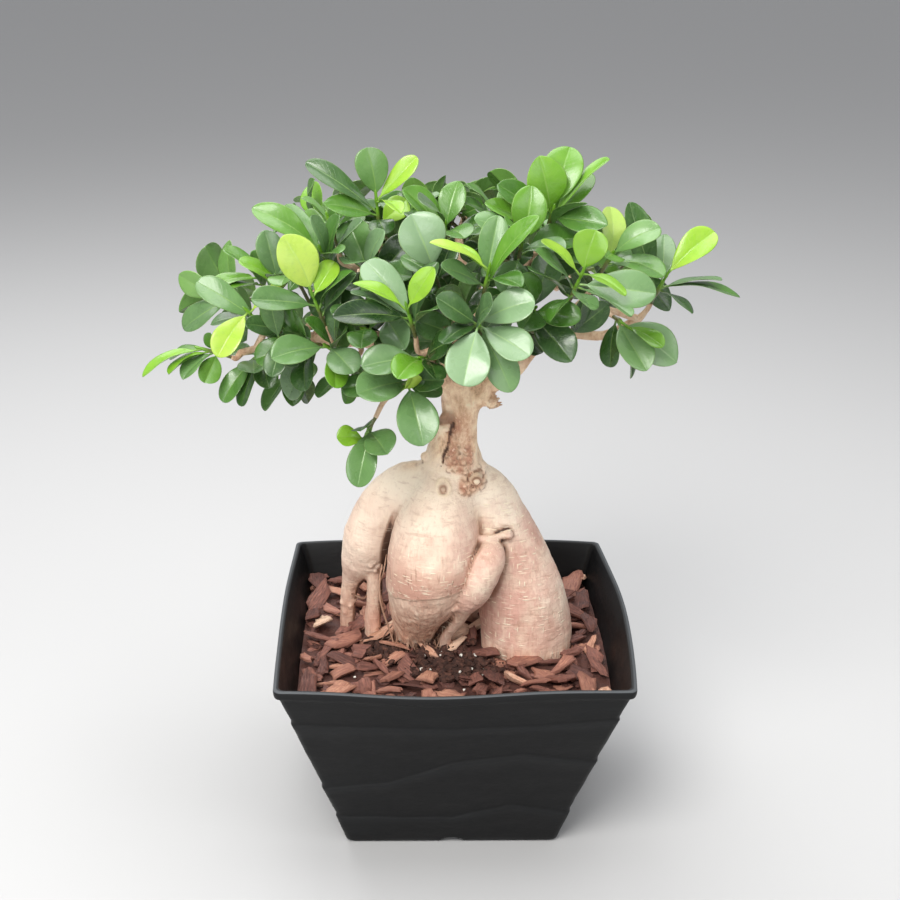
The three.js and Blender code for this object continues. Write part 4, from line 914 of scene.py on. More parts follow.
# WOOD
# Each row is a grown member: stations of x, y, z and radius.
TUBERS = [
    [(6, 2, 252, 14), (22, 3, 238, 18.5), (32, 5, 217, 21.5), (42, 6, 187, 27), (50, 6, 157, 32),
     (55, 6, 129, 33.5), (55, 6, 114, 32.5), (55, 6, ROOT_BOTTOM, 30)],
    [(-3, -3, 256, 15), (-8, -11, 238, 23), (-12, -17, 215, 30), (-14, -18, 196, 32), (-17, -13, 176, 30),
     (-22, -4, 156, 24), (-24, 6, 138, 20), (-25, 11, 122, 17), (-25, 11, ROOT_BOTTOM, 15)],
    [(-8, 0, 246, 16), (-31, 4, 240, 19.5), (-47, 10, 222, 21.5), (-57.5, 15, 199, 20.5), (-63.5, 20, 181, 16.5),
     (-70, 23, 167, 9.5), (-74, 25, 155, 6.2), (-76, 27, 141, 5.8), (-77, 30, 121, 5.6), (-77, 31, ROOT_BOTTOM, 5)],
    [(-57, 10, 183, 6.5), (-56, 12, 167, 5.8), (-56.5, 16, 147, 5.6), (-57.5, 20, 125, 5.8),
     (-57.5, 21, ROOT_BOTTOM, 5.2)],
    [(24, -12, 209, 8), (26, -24, 204.5, 9.6), (24.5, -29, 200, 11.6), (21.5, -30.5, 196, 13), (18, -30.5, 188, 13.3),
     (14.8, -29, 179, 12.9), (10.8, -26.5, 170, 10.8), (7.5, -23.5, 162, 8), (5.5, -20, 153.5, 6),
     (1.5, -15, 143, 5.3), (-4, -9, 131, 4.4), (-5, -6, 121, 4), (-5, -5, ROOT_BOTTOM, 3.6)],
    [(7, -26, 167, 5), (2.3, -30, 165.5, 4), (-4.7, -31, 162.5, 3), (-10.3, -31.5, 159, 2.4), (-14.5, -32, 155.5, 1.4)],
    [(6, 14, 244, 16), (8, 34, 214, 20), (12, 46, 176, 21), (16, 52, 140, 19), (17, 54, 120, 15),
     (17, 54, ROOT_BOTTOM, 11)],
    [(0, 3, 218, 20), (0, 3, 236, 25), (0, 1, 252, 24), (0, 0, 260, 21.5), (-0.5, 0.5, 268, 18.5), (0, 1, 275, 15.5),
     (1.5, 1.5, 282, 12.8), (2.5, 1.5, 290, 11.8), (3.6, 1.5, 299, 12.2), (5, 1, 308, 14), (6, 1, 322, 14.5),
     (6, 2, 336, 10)],
    [(-13, -9, 252, 7), (-9.6, -8.5, 263, 6.4), (-7.6, -8.5, 273, 6), (-6.2, -8, 283, 5.6), (-5.8, -7.5, 291, 5.4),
     (-5.4, -7, 297, 5)],
    [(4, -11, 256, 9), (6, -9.5, 266, 8.8), (7.4, -8.5, 275, 8.2), (7.8, -8, 286, 7.8), (8, -8, 296, 7.8),
     (9.5, -8, 305, 8), (14, -8.5, 311, 7.4), (19, -9.5, 313, 6.2), (25, -11, 311, 4.6)],
]
# The rows that the looks treat on their own; the rear root, the trunk and its two strands follow them.
RIGHT_ROOT, BULB, LEFT_ROOT, STUB, FINGER, TOE = range(6)
# Short cut or healed ends, as stations of x, y, z and radius.
SCARS = [
    [(15.2, -14, 257, 4.8), (15.6, -21.5, 257, 3.8)], [(-7, -18, 254, 4.8), (-7.4, -26.5, 253.5, 3.8)],
    [(18, -22, 213, 2.6), (27, -22.4, 213.6, 2.6), (33, -20.4, 214.6, 2.4), (38.4, -20.2, 215.6, 3.4)],
    [(-14, -3, 266, 6), (-20, -3, 267.5, 3.4)], [(13, -3, 261, 6), (19.5, -6, 261.5, 4)],
]
# Boughs, as stations of x, y, z and radius.
BOUGHS = [
    [(2, -2, 318, 10), (-24, -12, 340, 6), (-56, -24, 358, 4.8), (-92, -36, 364, 3.8), (-116, -42, 364, 3)],
    [(-56, -24, 358, 4.2), (-90, -8, 352, 3.6), (-124, 4, 346, 3), (-146, 6, 340, 2.6)],
    [(14, -2, 316, 8), (38, -16, 332, 4.6), (50, -26, 350, 3.6), (62, -54, 376, 2.8)],
    [(16, 0, 320, 8), (44, -4, 343, 4.8), (72, -4, 357, 4), (100, -10, 358, 3.4), (122, -18, 372, 2.8)],
    [(6, 2, 326, 8.5), (2, 6, 358, 5.4), (-14, 4, 388, 4.2), (-34, -6, 410, 3.2)],
    [(4, 4, 344, 5.6), (26, 2, 376, 4.2), (44, -14, 404, 3.4), (50, -26, 418, 2.8)],
    [(4, -6, 324, 7), (-2, -34, 348, 4.6), (-2, -62, 368, 3.8), (4, -80, 384, 3)],
    [(8, 8, 322, 8), (12, 44, 352, 5), (18, 78, 372, 4), (24, 100, 380, 3)],
    [(10, 36, 346, 4.6), (-26, 60, 366, 3.8), (-66, 70, 370, 3.2), (-98, 66, 366, 2.6)],
    [(14, 50, 356, 4.6), (52, 56, 372, 3.6), (92, 50, 376, 3), (118, 40, 374, 2.6)],
    [(4, 6, 356, 5), (6, 34, 388, 4), (4, 56, 408, 3.2), (8, 70, 420, 2.6)],
]
# Warts on the front of the wood, at the neck, round the cut ends and at the joints of the roots: x, z and radius.
WARTS = [
    (-1.8, 274.7, 1.5), (3.4, 280.8, 1.4), (3.9, 277, 1.7), (3.9, 273, 1.9), (8.7, 279.7, 1.4), (8.5, 275.2, 1.6),
    (11.4, 269.3, 1.7), (-4.1, 269.2, 1.4), (0.6, 269.8, 1.8), (6.3, 269.2, 1.9), (5.8, 265.3, 1.6), (0.7, 264.9, 1.8),
    (-5.8, 273.6, 1.4), (-3.4, 264.8, 1.5), (9.4, 265, 1.5), (2.2, 284.6, 1.1), (11.8, 274, 1.3),
    (7.9, 262.4, 1.9), (7.4, 258.3, 2), (6.3, 249.8, 2), (13.8, 249.4, 1.7), (19.5, 249.4, 1.8), (20.4, 253, 1.8),
    (20.6, 259.4, 1.9), (17.2, 263.4, 1.8), (4, 250.4, 1.6), (10.4, 247.6, 1.6), (9.8, 253.4, 1.8), (12, 261.8, 1.6),
    (-58, 182, 2.6), (-53.3, 181, 2.6), (-55.5, 176.5, 2.8), (-60, 177, 2.2), (-51.5, 177, 2.2), (-56, 184.8, 2.4),
    (-80, 141, 2.4), (-74.5, 139, 2.6), (-71, 143, 2), (-78.3, 133, 2.2), (5, 172, 1.6), (13, 168, 1.6), (9, 165, 1.5),
    (17, 172, 1.4), (3, 149, 1.5), (-2, 138, 1.5), (38.4, 216, 2), (-10, 291, 1.5), (-7, 291.6, 1.5), (-4.4, 291, 1.4),
]
# The seam round the bulb: x, and its height there
RING_LINE = ((-48.0, -34.0, -20.0, 6.0), (170.0, 174.0, 177.0, 180.5))
SHEATH_STEP = 0.9
# The dark slit up the front of the neck: heights, and x and half width there
SLIT_LINE = ((265.0, 275.0, 283.0, 295.0), (-9.0, -6.3, -3.5, -1.2))
SLIT_WIDTH = (0.7, 0.6, 0.9, 1.2)
# The ringed cut stub and the eye scar, as x and z on the front
CUT_STUB = (15.6, 257)
EYE_SCAR = (-7.4, 253.5)
# How deep warts sit in the wood, as a share of their radius, above and below the height of the crown of the roots
WART_SINKS = (0.12, 0.45)
CROWN_HEIGHT = 245
WART_BLEND = 0.8
# The torn end of the cut bough on the right of the neck
STUB_END = np.array([24.0, -11.5, 311.0])
SPLINTER_COUNT = 12
# How far from a member its distance is worked out, and what stands for farther
FIELD_REACH = 13
FIELD_FAR = 14.0
# The two skins: name, low and high corner, and step of the grid
SKINS = (
    ("tree_skin", (-96, -56, ROOT_BOTTOM), (102, 84, WOOD_SPLIT + 2.5), WOOD_STEP),
    ("bough_skin", (-156, -92, WOOD_SPLIT), (136, 110, 432), BOUGH_STEP),
)


def segment_distance(points, a, b, ra, rb):
    """Distance from points to a round bar that tapers from a to b."""
    line = b - a
    t = np.clip((points - a) @ line / max(line @ line, 1e-9), 0, 1)
    return np.linalg.norm(points - a - t[..., None] * line, axis=-1) - lerp(ra, rb, t)


class Field:
    """Signed distance on a regular grid, into which grown members are blended."""

    def __init__(self, low, high, step):
        self.low, self.step = np.array(low, float), step
        self.shape = tuple(int(math.ceil((h - l) / step)) + 1 for l, h in zip(low, high))
        self.value = np.full(self.shape, FIELD_FAR, np.float32)

    def blend(self, points, radii, soft):
        """Adds one member; soft is the width of the blend, as a number or by height."""
        reach = radii.max() + FIELD_REACH
        low = np.maximum(((points.min(0) - reach - self.low) / self.step).astype(int), 0)
        high = np.minimum(((points.max(0) + reach - self.low) / self.step).astype(int) + 2, self.shape)
        if (high <= low).any():
            return
        own = np.full(tuple(high - low), FIELD_FAR, np.float32)
        for a, b, ra, rb in zip(points[:-1], points[1:], radii[:-1], radii[1:]):
            near = max(ra, rb) + FIELD_REACH
            lo = np.maximum(((np.minimum(a, b) - near - self.low) / self.step).astype(int), low)
            hi = np.minimum(((np.maximum(a, b) + near - self.low) / self.step).astype(int) + 2, high)
            if (hi <= lo).any():
                continue
            axes = [self.low[i] + self.step * np.arange(lo[i], hi[i]) for i in range(3)]
            grid = np.stack(np.meshgrid(*axes, indexing="ij"), axis=-1)
            part = own[lo[0] - low[0]:hi[0] - low[0], lo[1] - low[1]:hi[1] - low[1], lo[2] - low[2]:hi[2] - low[2]]
            np.minimum(part, segment_distance(grid, a, b, ra, rb), out=part)
        whole = self.value[low[0]:high[0], low[1]:high[1], low[2]:high[2]]
        height = self.low[2] + self.step * np.arange(low[2], high[2])
        k = soft(height)[None, None, :] if callable(soft) else soft
        share = np.clip(0.5 + 0.5 * (whole - own) / k, 0, 1)
        whole[...] = lerp(whole, own, share) - k * share * (1 - share)

    def read(self, points):
        """Value and slope at points."""
        p = (points - self.low) / self.step
        cell = np.clip(np.floor(p).astype(int), 0, np.array(self.shape) - 2)
        f = p - cell
        value, slope = np.zeros(len(points)), np.zeros((len(points), 3))
        for step in CELL_CORNERS:
            weights = np.where(step, f, 1 - f)
            v = self.value[tuple((cell + step).T)]
            value += v * weights.prod(axis=1)
            for axis in range(3):
                others = [i for i in range(3) if i != axis]
                slope[:, axis] += v * weights[:, others].prod(axis=1) * (1 if step[axis] else -1)
        return value, slope / self.step

    def front(self, x, z):
        """The first point of the surface that a level line from the front meets."""
        y = np.arange(self.low[1], self.low[1] + self.step * (self.shape[1] - 2), 0.5)
        line = np.column_stack([np.full(len(y), x), y, np.full(len(y), z)])
        return line[np.argmax(self.read(line)[0] < 0)]

    def surface(self):
        """Points and four-sided faces of the zero surface, one point for each cell that it crosses."""
        v = self.value
        inside = v < 0
        count = np.zeros(tuple(n - 1 for n in self.shape), np.int8)
        for i, j, k in CELL_CORNERS:
            count += inside[i:self.shape[0] - 1 + i, j:self.shape[1] - 1 + j, k:self.shape[2] - 1 + k]
        cells = np.argwhere((count > 0) & (count < 8))
        index = np.full(count.shape, -1, np.int64)
        index[tuple(cells.T)] = np.arange(len(cells))
        total, hits = np.zeros((len(cells), 3)), np.zeros(len(cells))
        for axis in range(3):
            others = [i for i in range(3) if i != axis]
            for p, q in ((0, 0), (0, 1), (1, 0), (1, 1)):
                start = np.zeros(3, int)
                start[others[0]], start[others[1]] = p, q
                end = start.copy()
                end[axis] = 1
                a, b = v[tuple((cells + start).T)], v[tuple((cells + end).T)]
                cross = (a < 0) != (b < 0)
                t = np.where(cross, a / np.where(cross, a - b, 1), 0)
                total[cross] += (start + t[:, None] * (end - start))[cross]
                hits += cross
        points = self.low + self.step * (cells + total / hits[:, None])
        faces = []
        for axis in range(3):
            one, two = (axis + 1) % 3, (axis + 2) % 3
            low = [slice(1, -1)] * 3
            low[axis] = slice(0, -1)
            high = list(low)
            high[axis] = slice(1, None)
            a, b = inside[tuple(low)], inside[tuple(high)]
            for flip, crossed in ((False, a & ~b), (True, ~a & b)):
                at = np.argwhere(crossed)
                at += np.array([0 if i == axis else 1 for i in range(3)])
                ring = []
                for p, q in ((-1, -1), (0, -1), (0, 0), (-1, 0)):
                    cell = at.copy()
                    cell[:, one] += p
                    cell[:, two] += q
                    ring.append(index[tuple(cell.T)])
                quads = np.stack(ring[::-1] if flip else ring, axis=1)
                faces.append(quads[(quads >= 0).all(axis=1)])
        return points, np.concatenate(faces)


def member_distances(points, members):
    """Distance from points to the surface of each member."""
    found = []
    for line, radii in members:
        best = np.full(len(points), 99.0)
        for a, b, ra, rb in zip(line[:-1], line[1:], radii[:-1], radii[1:]):
            best = np.minimum(best, segment_distance(points, a, b, ra, rb))
        found.append(best)
    return np.array(found)


def twig_path(base, along, boughs):
    """A twig leaves the nearest bough and arrives along the line of its spray."""
    best = None
    for line in boughs:
        for p in line[8::4]:
            far = np.linalg.norm(p - base) + max(0, p[2] - base[2]) * 0.8
            if best is None or far < best[0]:
                best = (far, p)
    start = best[1]
    bend = base - along * min(np.linalg.norm(base - start) * 0.4, 14)
    return [(*start, TWIG_RADIUS + 0.9), (*bend, TWIG_RADIUS + 0.1), (*base, STEM_RADIUS + 0.2)]


def blend_width(member):
    """Width of the blend of a grown member with those before it, by height."""
    if member == BULB:
        return lambda z: np.interp(z, [160, 192, 214, 240, 270], [1.8, 2.2, 5.0, 8.0, 4.0])
    if member == FINGER:
        return lambda z: np.interp(z, [180, 200, 214], [1.6, 1.8, 3.0])
    return lambda z: np.interp(z, [160, 215, 246, 270, 310], [1.8, 2.6, 6.0, 2.4, 4.0])


def grown(low, high, step, tubers, boughs):
    """The blended wood between two heights: its field, points, faces, the way each point faces, and the warts."""
    field = Field(np.array(low) - 3 * step * UP, np.array(high) + 3 * step * UP, step)
    for member, (line, radii) in enumerate(tubers):
        field.blend(line, radii, blend_width(member))
    for rows in SCARS:
        field.blend(*catmull(rows, 6), 1.6)
    bumps = []
    for x, z, r in WARTS:
        if low[2] < z < high[2]:
            sink = WART_SINKS[0] if z > CROWN_HEIGHT else WART_SINKS[1]
            place = field.front(x, z) + (0, sink * r, 0)
            bumps.append((place, r))
            field.blend(np.array([place, place + (0, 0, 0.1)]), np.array([r, r]), WART_BLEND)
    for line, radii in boughs:
        field.blend(line, radii * 0.97, 4.0)
    height = field.low[2] + field.step * np.arange(field.shape[2])
    cut = np.maximum(low[2] - height, height - high[2]).astype(np.float32)
    field.value = np.maximum(field.value, cut[None, None, :])
    points, faces = field.surface()
    for _ in range(2):
        value, slope = field.read(points)
        points -= np.clip(value, -1, 1)[:, None] * slope / np.maximum((slope ** 2).sum(1), 0.3)[:, None]
    _, slope = field.read(points)
    normal = slope / np.maximum(np.linalg.norm(slope, axis=1), 1e-6)[:, None]
    return field, points, faces, normal, bumps


def from_mark(x, z, middle, wide=1, high=1):
    """Distance on the front from a mark at x and z, in shares of its width and height."""
    return np.hypot((x - middle[0]) / wide, (z - middle[1]) / high)


def wood_looks(field, points, normal, bumps, tubers):
    """The numbers that the wood's material reads at each point, and how far the relief pushes it out."""
    apart = member_distances(points, tubers)
    nearest = apart.argmin(axis=0)
    x, z = points[:, 0], points[:, 2]
    front = normal[:, 1] < 0.3
    wander = layered_noise(points, 16, 5)
    # Hollows, painted dark as shade: less room just outside the surface than over a flat place.
    pit = 1 - field.read(points + 2.4 * normal)[0] / 2.4
    hollow = 1 - field.read(points + 7.0 * normal)[0] / 7.0
    deep = 0.42 + 0.5 * smooth(-24, -31, x) * smooth(240, 226, z)
    painted_shade_and_dark = np.maximum(smooth(0.12, 0.6, pit), deep * smooth(0.15, 0.7, hollow))
    painted_shade_and_dark = painted_shade_and_dark * smooth(ROOT_BOTTOM + 4, ROOT_BOTTOM + 12, z) * smooth(312, 300, z)
    painted_shade_and_dark *= 1 - 0.5 * smooth(206, 216, z) * smooth(246, 240, z) * smooth(4, 12, x) * smooth(30, 24, x) * front
    neck = smooth(256, 276, z + 6 * wander)
    warty = smooth(1.0, 0.55, from_mark(x, z, (4.5, 271), 13, 13) + 0.12 * wander)
    cluster = smooth(1.0, 0.6, from_mark(x, z, (12, 254.5), 12, 11) + 0.12 * wander)
    scar = smooth(7.5, 4.5, from_mark(x, z, (-7, 254)))
    rough_bark = np.maximum(warty, cluster) * front
    on_bulb, on_right, on_left = (nearest == member for member in (BULB, RIGHT_ROOT, LEFT_ROOT))
    bulb = on_bulb & (z < 240)
    seam = np.interp(x, *RING_LINE) + 0.5 * value_noise(points, 12, 8)
    line = np.where(bulb, 0.5 * ridge(z, seam, 0.8), 0.0)
    sheath = np.where(bulb, smooth(seam + 0.4, seam - 0.6, z), 0.0)
    thin = np.isin(nearest, (STUB, TOE)) | (np.isin(nearest, (LEFT_ROOT, FINGER)) & (z < 160))
    band = np.where(bulb, smooth(214, 188, z + 9 * wander) * (1 - sheath), 0.0) * (normal[:, 1] < 0.2)
    low = np.clip(sheath * (0.35 + smooth(174, 128, z)) + np.where(thin, 0.4, 0), 0, 1)
    low = np.maximum(low, smooth(131, 120, z) * 0.75)
    blush = 0.25 + 0.6 * np.maximum(smooth(208, 186, z), smooth(-14, 8, x))
    pink = np.select([on_bulb, on_right, on_left], [blush, 0.9 - 0.4 * smooth(56, 74, x), 0.45], 0.7)
    pink = np.maximum(pink * smooth(252, 225, z) * (1 - 0.6 * sheath), rough_bark)
    dash = np.select([on_right, bulb, on_left],
                     [smooth(252, 236, z), smooth(226, 198, z), 0.25 * smooth(240, 215, z)], 0.6)
    dash = dash * (1 - 0.8 * sheath) * (z < 252)
    # Relief: slow swells, fine skin, furrowed bark, and fibres under the seam.
    push = 0.5 * layered_noise(points, 22, 21) + 0.16 * layered_noise(points, 5, 31)
    furrow = layered_noise(points * (1, 1, 0.3), 5.5, 41)
    push += neck * smooth(345, 300, z) * (0.45 * furrow + 0.2 * layered_noise(points, 3.2, 43))
    push += rough_bark * 0.55 * layered_noise(points, 3.0, 47)
    push -= sheath * (SHEATH_STEP + 0.5 * np.abs(layered_noise(points * (1, 1, 0.1), 3.2, 51)))
    push += line * 0.5 + low * 0.3 * layered_noise(points * (1, 1, 0.2), 3.0, 53)
    ring = from_mark(x, z, CUT_STUB) * (1 + 0.12 * wander)
    rings = ridge(ring, 2.9, 0.5) + ridge(ring, 5.0, 0.7)
    push -= front * 0.6 * rings
    eye = from_mark(x, z, EYE_SCAR) * (1 + 0.2 * wander)
    push += np.where(front, 0.8 * ridge(eye, 5.0, 1.1) - 1.2 * ridge(eye, 2.8, 1.0), 0)
    push *= np.where(z > 340, 0.3, 1.0)
    # The pit of the eye scar is painted dark as shade and its rim pale; the grooves of the cut stub are darkened, and
    # its cut face is pale, partly painted light.
    painted_shade_and_dark = np.maximum(painted_shade_and_dark, front * (0.65 * ridge(eye, 2.8, 1.0) + 0.3 * smooth(2.2, 1.2, eye)))
    painted_shade_and_dark = np.where(front & (ring < 5.8), 0.75 * rings, painted_shade_and_dark)
    line = np.maximum(line, front * 0.8 * ridge(eye, 5.0, 0.9))
    line = np.maximum(line, front * (smooth(2.4, 1.8, ring) + 0.8 * ridge(ring, 3.9, 0.45)))
    uneven = 0.3 * layered_noise(points, 2.6, 57)
    # Round each wart: painted shade in a ring, darker on its lower side, and a painted highlight on its front-facing
    # cap.
    for place, r in bumps:
        far = np.linalg.norm(points - place, axis=1) * (1 + uneven)
        dark = 0.5 if place[2] > CROWN_HEIGHT else 0.2
        below = smooth(0.9, -0.7, (z - place[2]) / r)
        painted_shade_and_dark = np.maximum(painted_shade_and_dark, dark * (0.35 + 0.7 * below) * ridge(far, 1.3 * r, 0.5 * r))
        painted_shade_and_dark *= 1 - smooth(1.1 * r, 0.9 * r, far)
        line = np.maximum(line, 0.9 * dark * smooth(0.95 * r, 0.5 * r, far)
                          * smooth(0.1, -0.5, (points[:, 1] - place[1]) / r))
    # The slit up the neck, between its two strands, painted dark as shade, and the painted shade under the cut lip.
    ragged = x + 0.9 * layered_noise(points, 4, 61)
    slit = np.abs(ragged - np.interp(z, *SLIT_LINE)) / np.interp(z, SLIT_LINE[0], SLIT_WIDTH)
    slit = front * smooth(1.5, 0.5, slit) * smooth(SLIT_LINE[0][0], SLIT_LINE[0][0] + 2, z) * (z < SLIT_LINE[0][-1])
    painted_shade_and_dark = np.maximum(painted_shade_and_dark, slit)
    push -= 1.3 * slit
    block = front * smooth(309, 297, z + 2 * wander) * smooth(292.5, 294.5, z + wander) * smooth(2, -1.5, x + wander)
    painted_shade_and_dark = np.maximum(painted_shade_and_dark, 0.7 * block)
    push -= 0.8 * block
    lip = front * smooth(1.0, 0.6, np.abs(z - 291 + wander) / 3) * smooth(-1.5, -3.5, x)
    line = np.maximum(line, 0.8 * lip)
    painted_shade_and_dark = painted_shade_and_dark * (1 - 0.8 * lip)
    core = front * smooth(1.0, 0.45, np.abs(x - 2.5 + 2 * wander) / 12) * smooth(261, 267, z) * smooth(316, 286, z)
    painted_shade_and_dark = np.maximum(painted_shade_and_dark, 0.1 * core)
    # Painted shade on the boughs inside the crown.
    painted_shade_and_dark = np.maximum(painted_shade_and_dark, 0.3 * smooth(330, 345, z))
    painted_shade_and_dark = np.clip(painted_shade_and_dark, 0, 1)
    pink = np.maximum(pink, 0.8 * core)
    # Painted light on the upper wood under the crown, less on the bulb, the core and the warts; the upper left root is
    # lightened too.
    painted_light_share = smooth(206, 250, z + 8 * wander) * np.where(on_bulb, 0.6, 1.0)
    painted_light_share = np.maximum(painted_light_share, 0.6 * on_left * smooth(160, 190, z))
    neck = np.maximum(np.maximum(neck, 0.35 * scar * front), 0.85 * rough_bark)
    high = painted_light_share * (1 - 0.6 * np.maximum(core, rough_bark))
    return push, dict(zip(WOOD_NUMBERS, (neck, low, painted_shade_and_dark, line, pink, dash * (1 - rough_bark), high, band)))


def add_wood(shoots, boughs, finish, draw):
    """The two skins; the bough skin also takes the twigs and the splinters of the torn end."""
    tubers = [catmull(rows, 36) for rows in TUBERS]
    for name, low, high, step in SKINS:
        field, points, faces, normal, bumps = grown(low, high, step, tubers, boughs)
        push, looks = wood_looks(field, points, normal, bumps, tubers)
        push *= smooth(2, 8, np.abs(points[:, 2] - WOOD_SPLIT - 1.2))
        build = Builder()
        build.add(points + normal * push[:, None], faces.tolist(), **looks)
        if name == "tree_skin":
            build.make(name, finish, ["tree_wood"], sharp=75)
    # Twigs and splinters carry old bark and the painted shade of the crown.
    plain = dict.fromkeys(WOOD_NUMBERS, 0.0) | {"wood_neck": 0.9, "wood_painted_shade_and_dark": 0.3}
    lines = [line for line, _ in boughs]
    for stems in shoots:
        axes = [stem["axis"] for stem in stems]
        along = unit(sum(axes))
        back = GAP if len(axes) == 1 else GAP + FORK_CLEAR
        base = stems[0]["start"] - along * back
        line, radii = catmull(twig_path(base, along, lines), 14)
        points, faces = tube(line, radii * 0.92, 9, seed=int(draw.integers(99)), rough=0.12)
        build.add(points, faces, **plain)
    for _ in range(SPLINTER_COUNT):
        foot = STUB_END + (draw.random(3) - 0.5) * (3, 6, 8)
        tip = foot + (4 + 4 * draw.random(), 3 * (draw.random() - 0.5), 6 * draw.random() - 1.5)
        line, radii = catmull([(*foot, 1.7), (*lerp(foot, tip, 0.5), 1.3), (*tip, 0.3)], 4)
        points, faces = tube(line, radii, 6, seed=int(draw.integers(99)), rough=0.25)
        build.add(points, faces, **plain)
    build.make("bough_skin", finish, sharp=75)


def add_fibres(finish, draw):
    """Thin root threads: the fringe at the foot of the bulb and the strings beside it."""
    build = Builder()

    def thread(stations, sides=5):
        line, radii = catmull(stations, 10)
        points, faces = tube(line, radii, sides, seed=int(draw.integers(99)), rough=0.2)
        looks = {"wood_low": 0.5 + 0.5 * draw.random(), "wood_painted_shade_and_dark": 0.5 + 0.4 * draw.random(), "wood_pink": 0.2}
        build.add(points, faces, **(dict.fromkeys(WOOD_NUMBERS, 0.0) | looks))

    for k in range(FRINGE_COUNT):
        turn = k * GOLDEN + draw.random()
        side, front = math.cos(turn), math.sin(turn)
        high = 123.5 + draw.random() ** 2 * 12
        grow = 17.6 + (high - 122) * 0.1
        x, y = -24.5 + grow * side, 9.5 + grow * front - (high - 122) * 0.5
        lean, flare = (draw.random() - 0.5) * 9, 1 + draw.random() * 5
        thread([(x, y, high, 0.4), (x + side * flare * 0.4 + lean * 0.4, y + front * flare * 0.4, high - 5, 0.6),
                (x + side * flare + lean, y + front * flare, 121.5, 0.45),
                (x + side * (flare + 4) + lean * 1.6, y + front * (flare + 3), 120 + draw.random(), 0.25)])
    for x, y, side in ((-5, -6, -1), (-57.5, 20, 1), (-77, 30, -1)):
        for _ in range(8):
            angle = draw.random() * 6.28
            dx, dy = math.cos(angle), math.sin(angle)
            thread([(x + 3.6 * dx, y + 3.6 * dy, 129 + draw.random() * 4, 0.3),
                    (x + 5 * dx, y + 5 * dy, 125, 0.45),
                    (x + (6 + 3 * draw.random()) * dx, y + 7.5 * dy, 120.5 + draw.random() * 2, 0.25)])
    thread([(-50, -6, 186, 0.5), (-52, -9, 174, 0.7), (-51.5, -10, 160, 0.75), (-48, -9, 145, 0.7),
            (-44, -8, 132, 0.7), (-41, -9, 120, 0.5)], 6)
    thread([(-47, -2, 192, 0.4), (-49, -6, 180, 0.5), (-52, -4, 168, 0.5), (-49, -2, 150, 0.4)], 6)
    thread([(-61, 16, 152, 0.5), (-64, 12, 150, 0.8), (-69, 14, 151, 0.9), (-73, 20, 150, 0.6)], 6)
    build.make("root_threads", finish)


# POT
CORNERS = ((1, -1), (1, 1), (-1, 1), (-1, -1))
SIDE_STEPS = 46
ARC_STEPS = 7


def outline_table():
    """Side, share of the side and share of the corner arc, for each point round the pot."""
    rows = []
    for s in range(4):
        rows += [(s, i / SIDE_STEPS, 0.0) for i in range(SIDE_STEPS + 1)]
        rows += [(s, 1.0, i / ARC_STEPS) for i in range(1, ARC_STEPS)]
    return np.array(rows)


OUTLINE = outline_table()


def ring_at(half, bow, z):
    """Points round the pot at a half width and a share of the bow at the rim; half, bow and z may vary."""
    side, share, arc = OUTLINE.T
    side = side.astype(int)
    half = np.broadcast_to(half, side.shape)
    radius = np.minimum(CORNER_RADIUS, half * 0.3)
    corners = np.array(CORNERS, float)
    a, b = corners[(side + 3) % 4], corners[side]
    out = np.stack([(b[:, 1] - a[:, 1]) / 2, (a[:, 0] - b[:, 0]) / 2], axis=1)
    after = np.stack([-out[:, 1], out[:, 0]], axis=1)
    flat = lerp(a, b, share[:, None]) * (half - radius)[:, None]
    toward = out * np.cos(arc * math.pi / 2)[:, None] + after * np.sin(arc * math.pi / 2)[:, None]
    reach = radius + np.array(SIDE_BOWS)[side] * bow * (1 - (2 * share - 1) ** 2)
    xy = flat + toward * reach[:, None]
    return np.column_stack([xy, np.broadcast_to(z, side.shape)])


def by_side(rule):
    """Reads a rule of side and share round the pot, run over smoothly at each corner."""
    side, share, arc = OUTLINE.T
    here = rule(side, share)
    there = rule((side + 1) % 4, np.zeros_like(share))
    return np.where(arc > 0, lerp(here, there, smooth(0, 1, arc)), here)


def half_at(z):
    return lerp(BASE_WIDTH, RIM_WIDTH, z / POT_HEIGHT) / 2


def rim_wave():
    phases = np.array(RIM_PHASES)
    return by_side(lambda s, t: RIM_WAVE * np.sin(math.pi * t) * np.sin(2 * math.pi * t + phases[s.astype(int)]))


def ledge(row, seed):
    """Height of a ledge round the pot; it runs to and fro from side to side."""
    line = by_side(lambda s, t: np.interp(np.where(s % 2 == 0, t, 1 - t), np.linspace(0, 1, len(row)), row))
    return line + 0.5 * layered_noise(ring_at(half_at(row[0]), 0, row[0]), 14, seed)


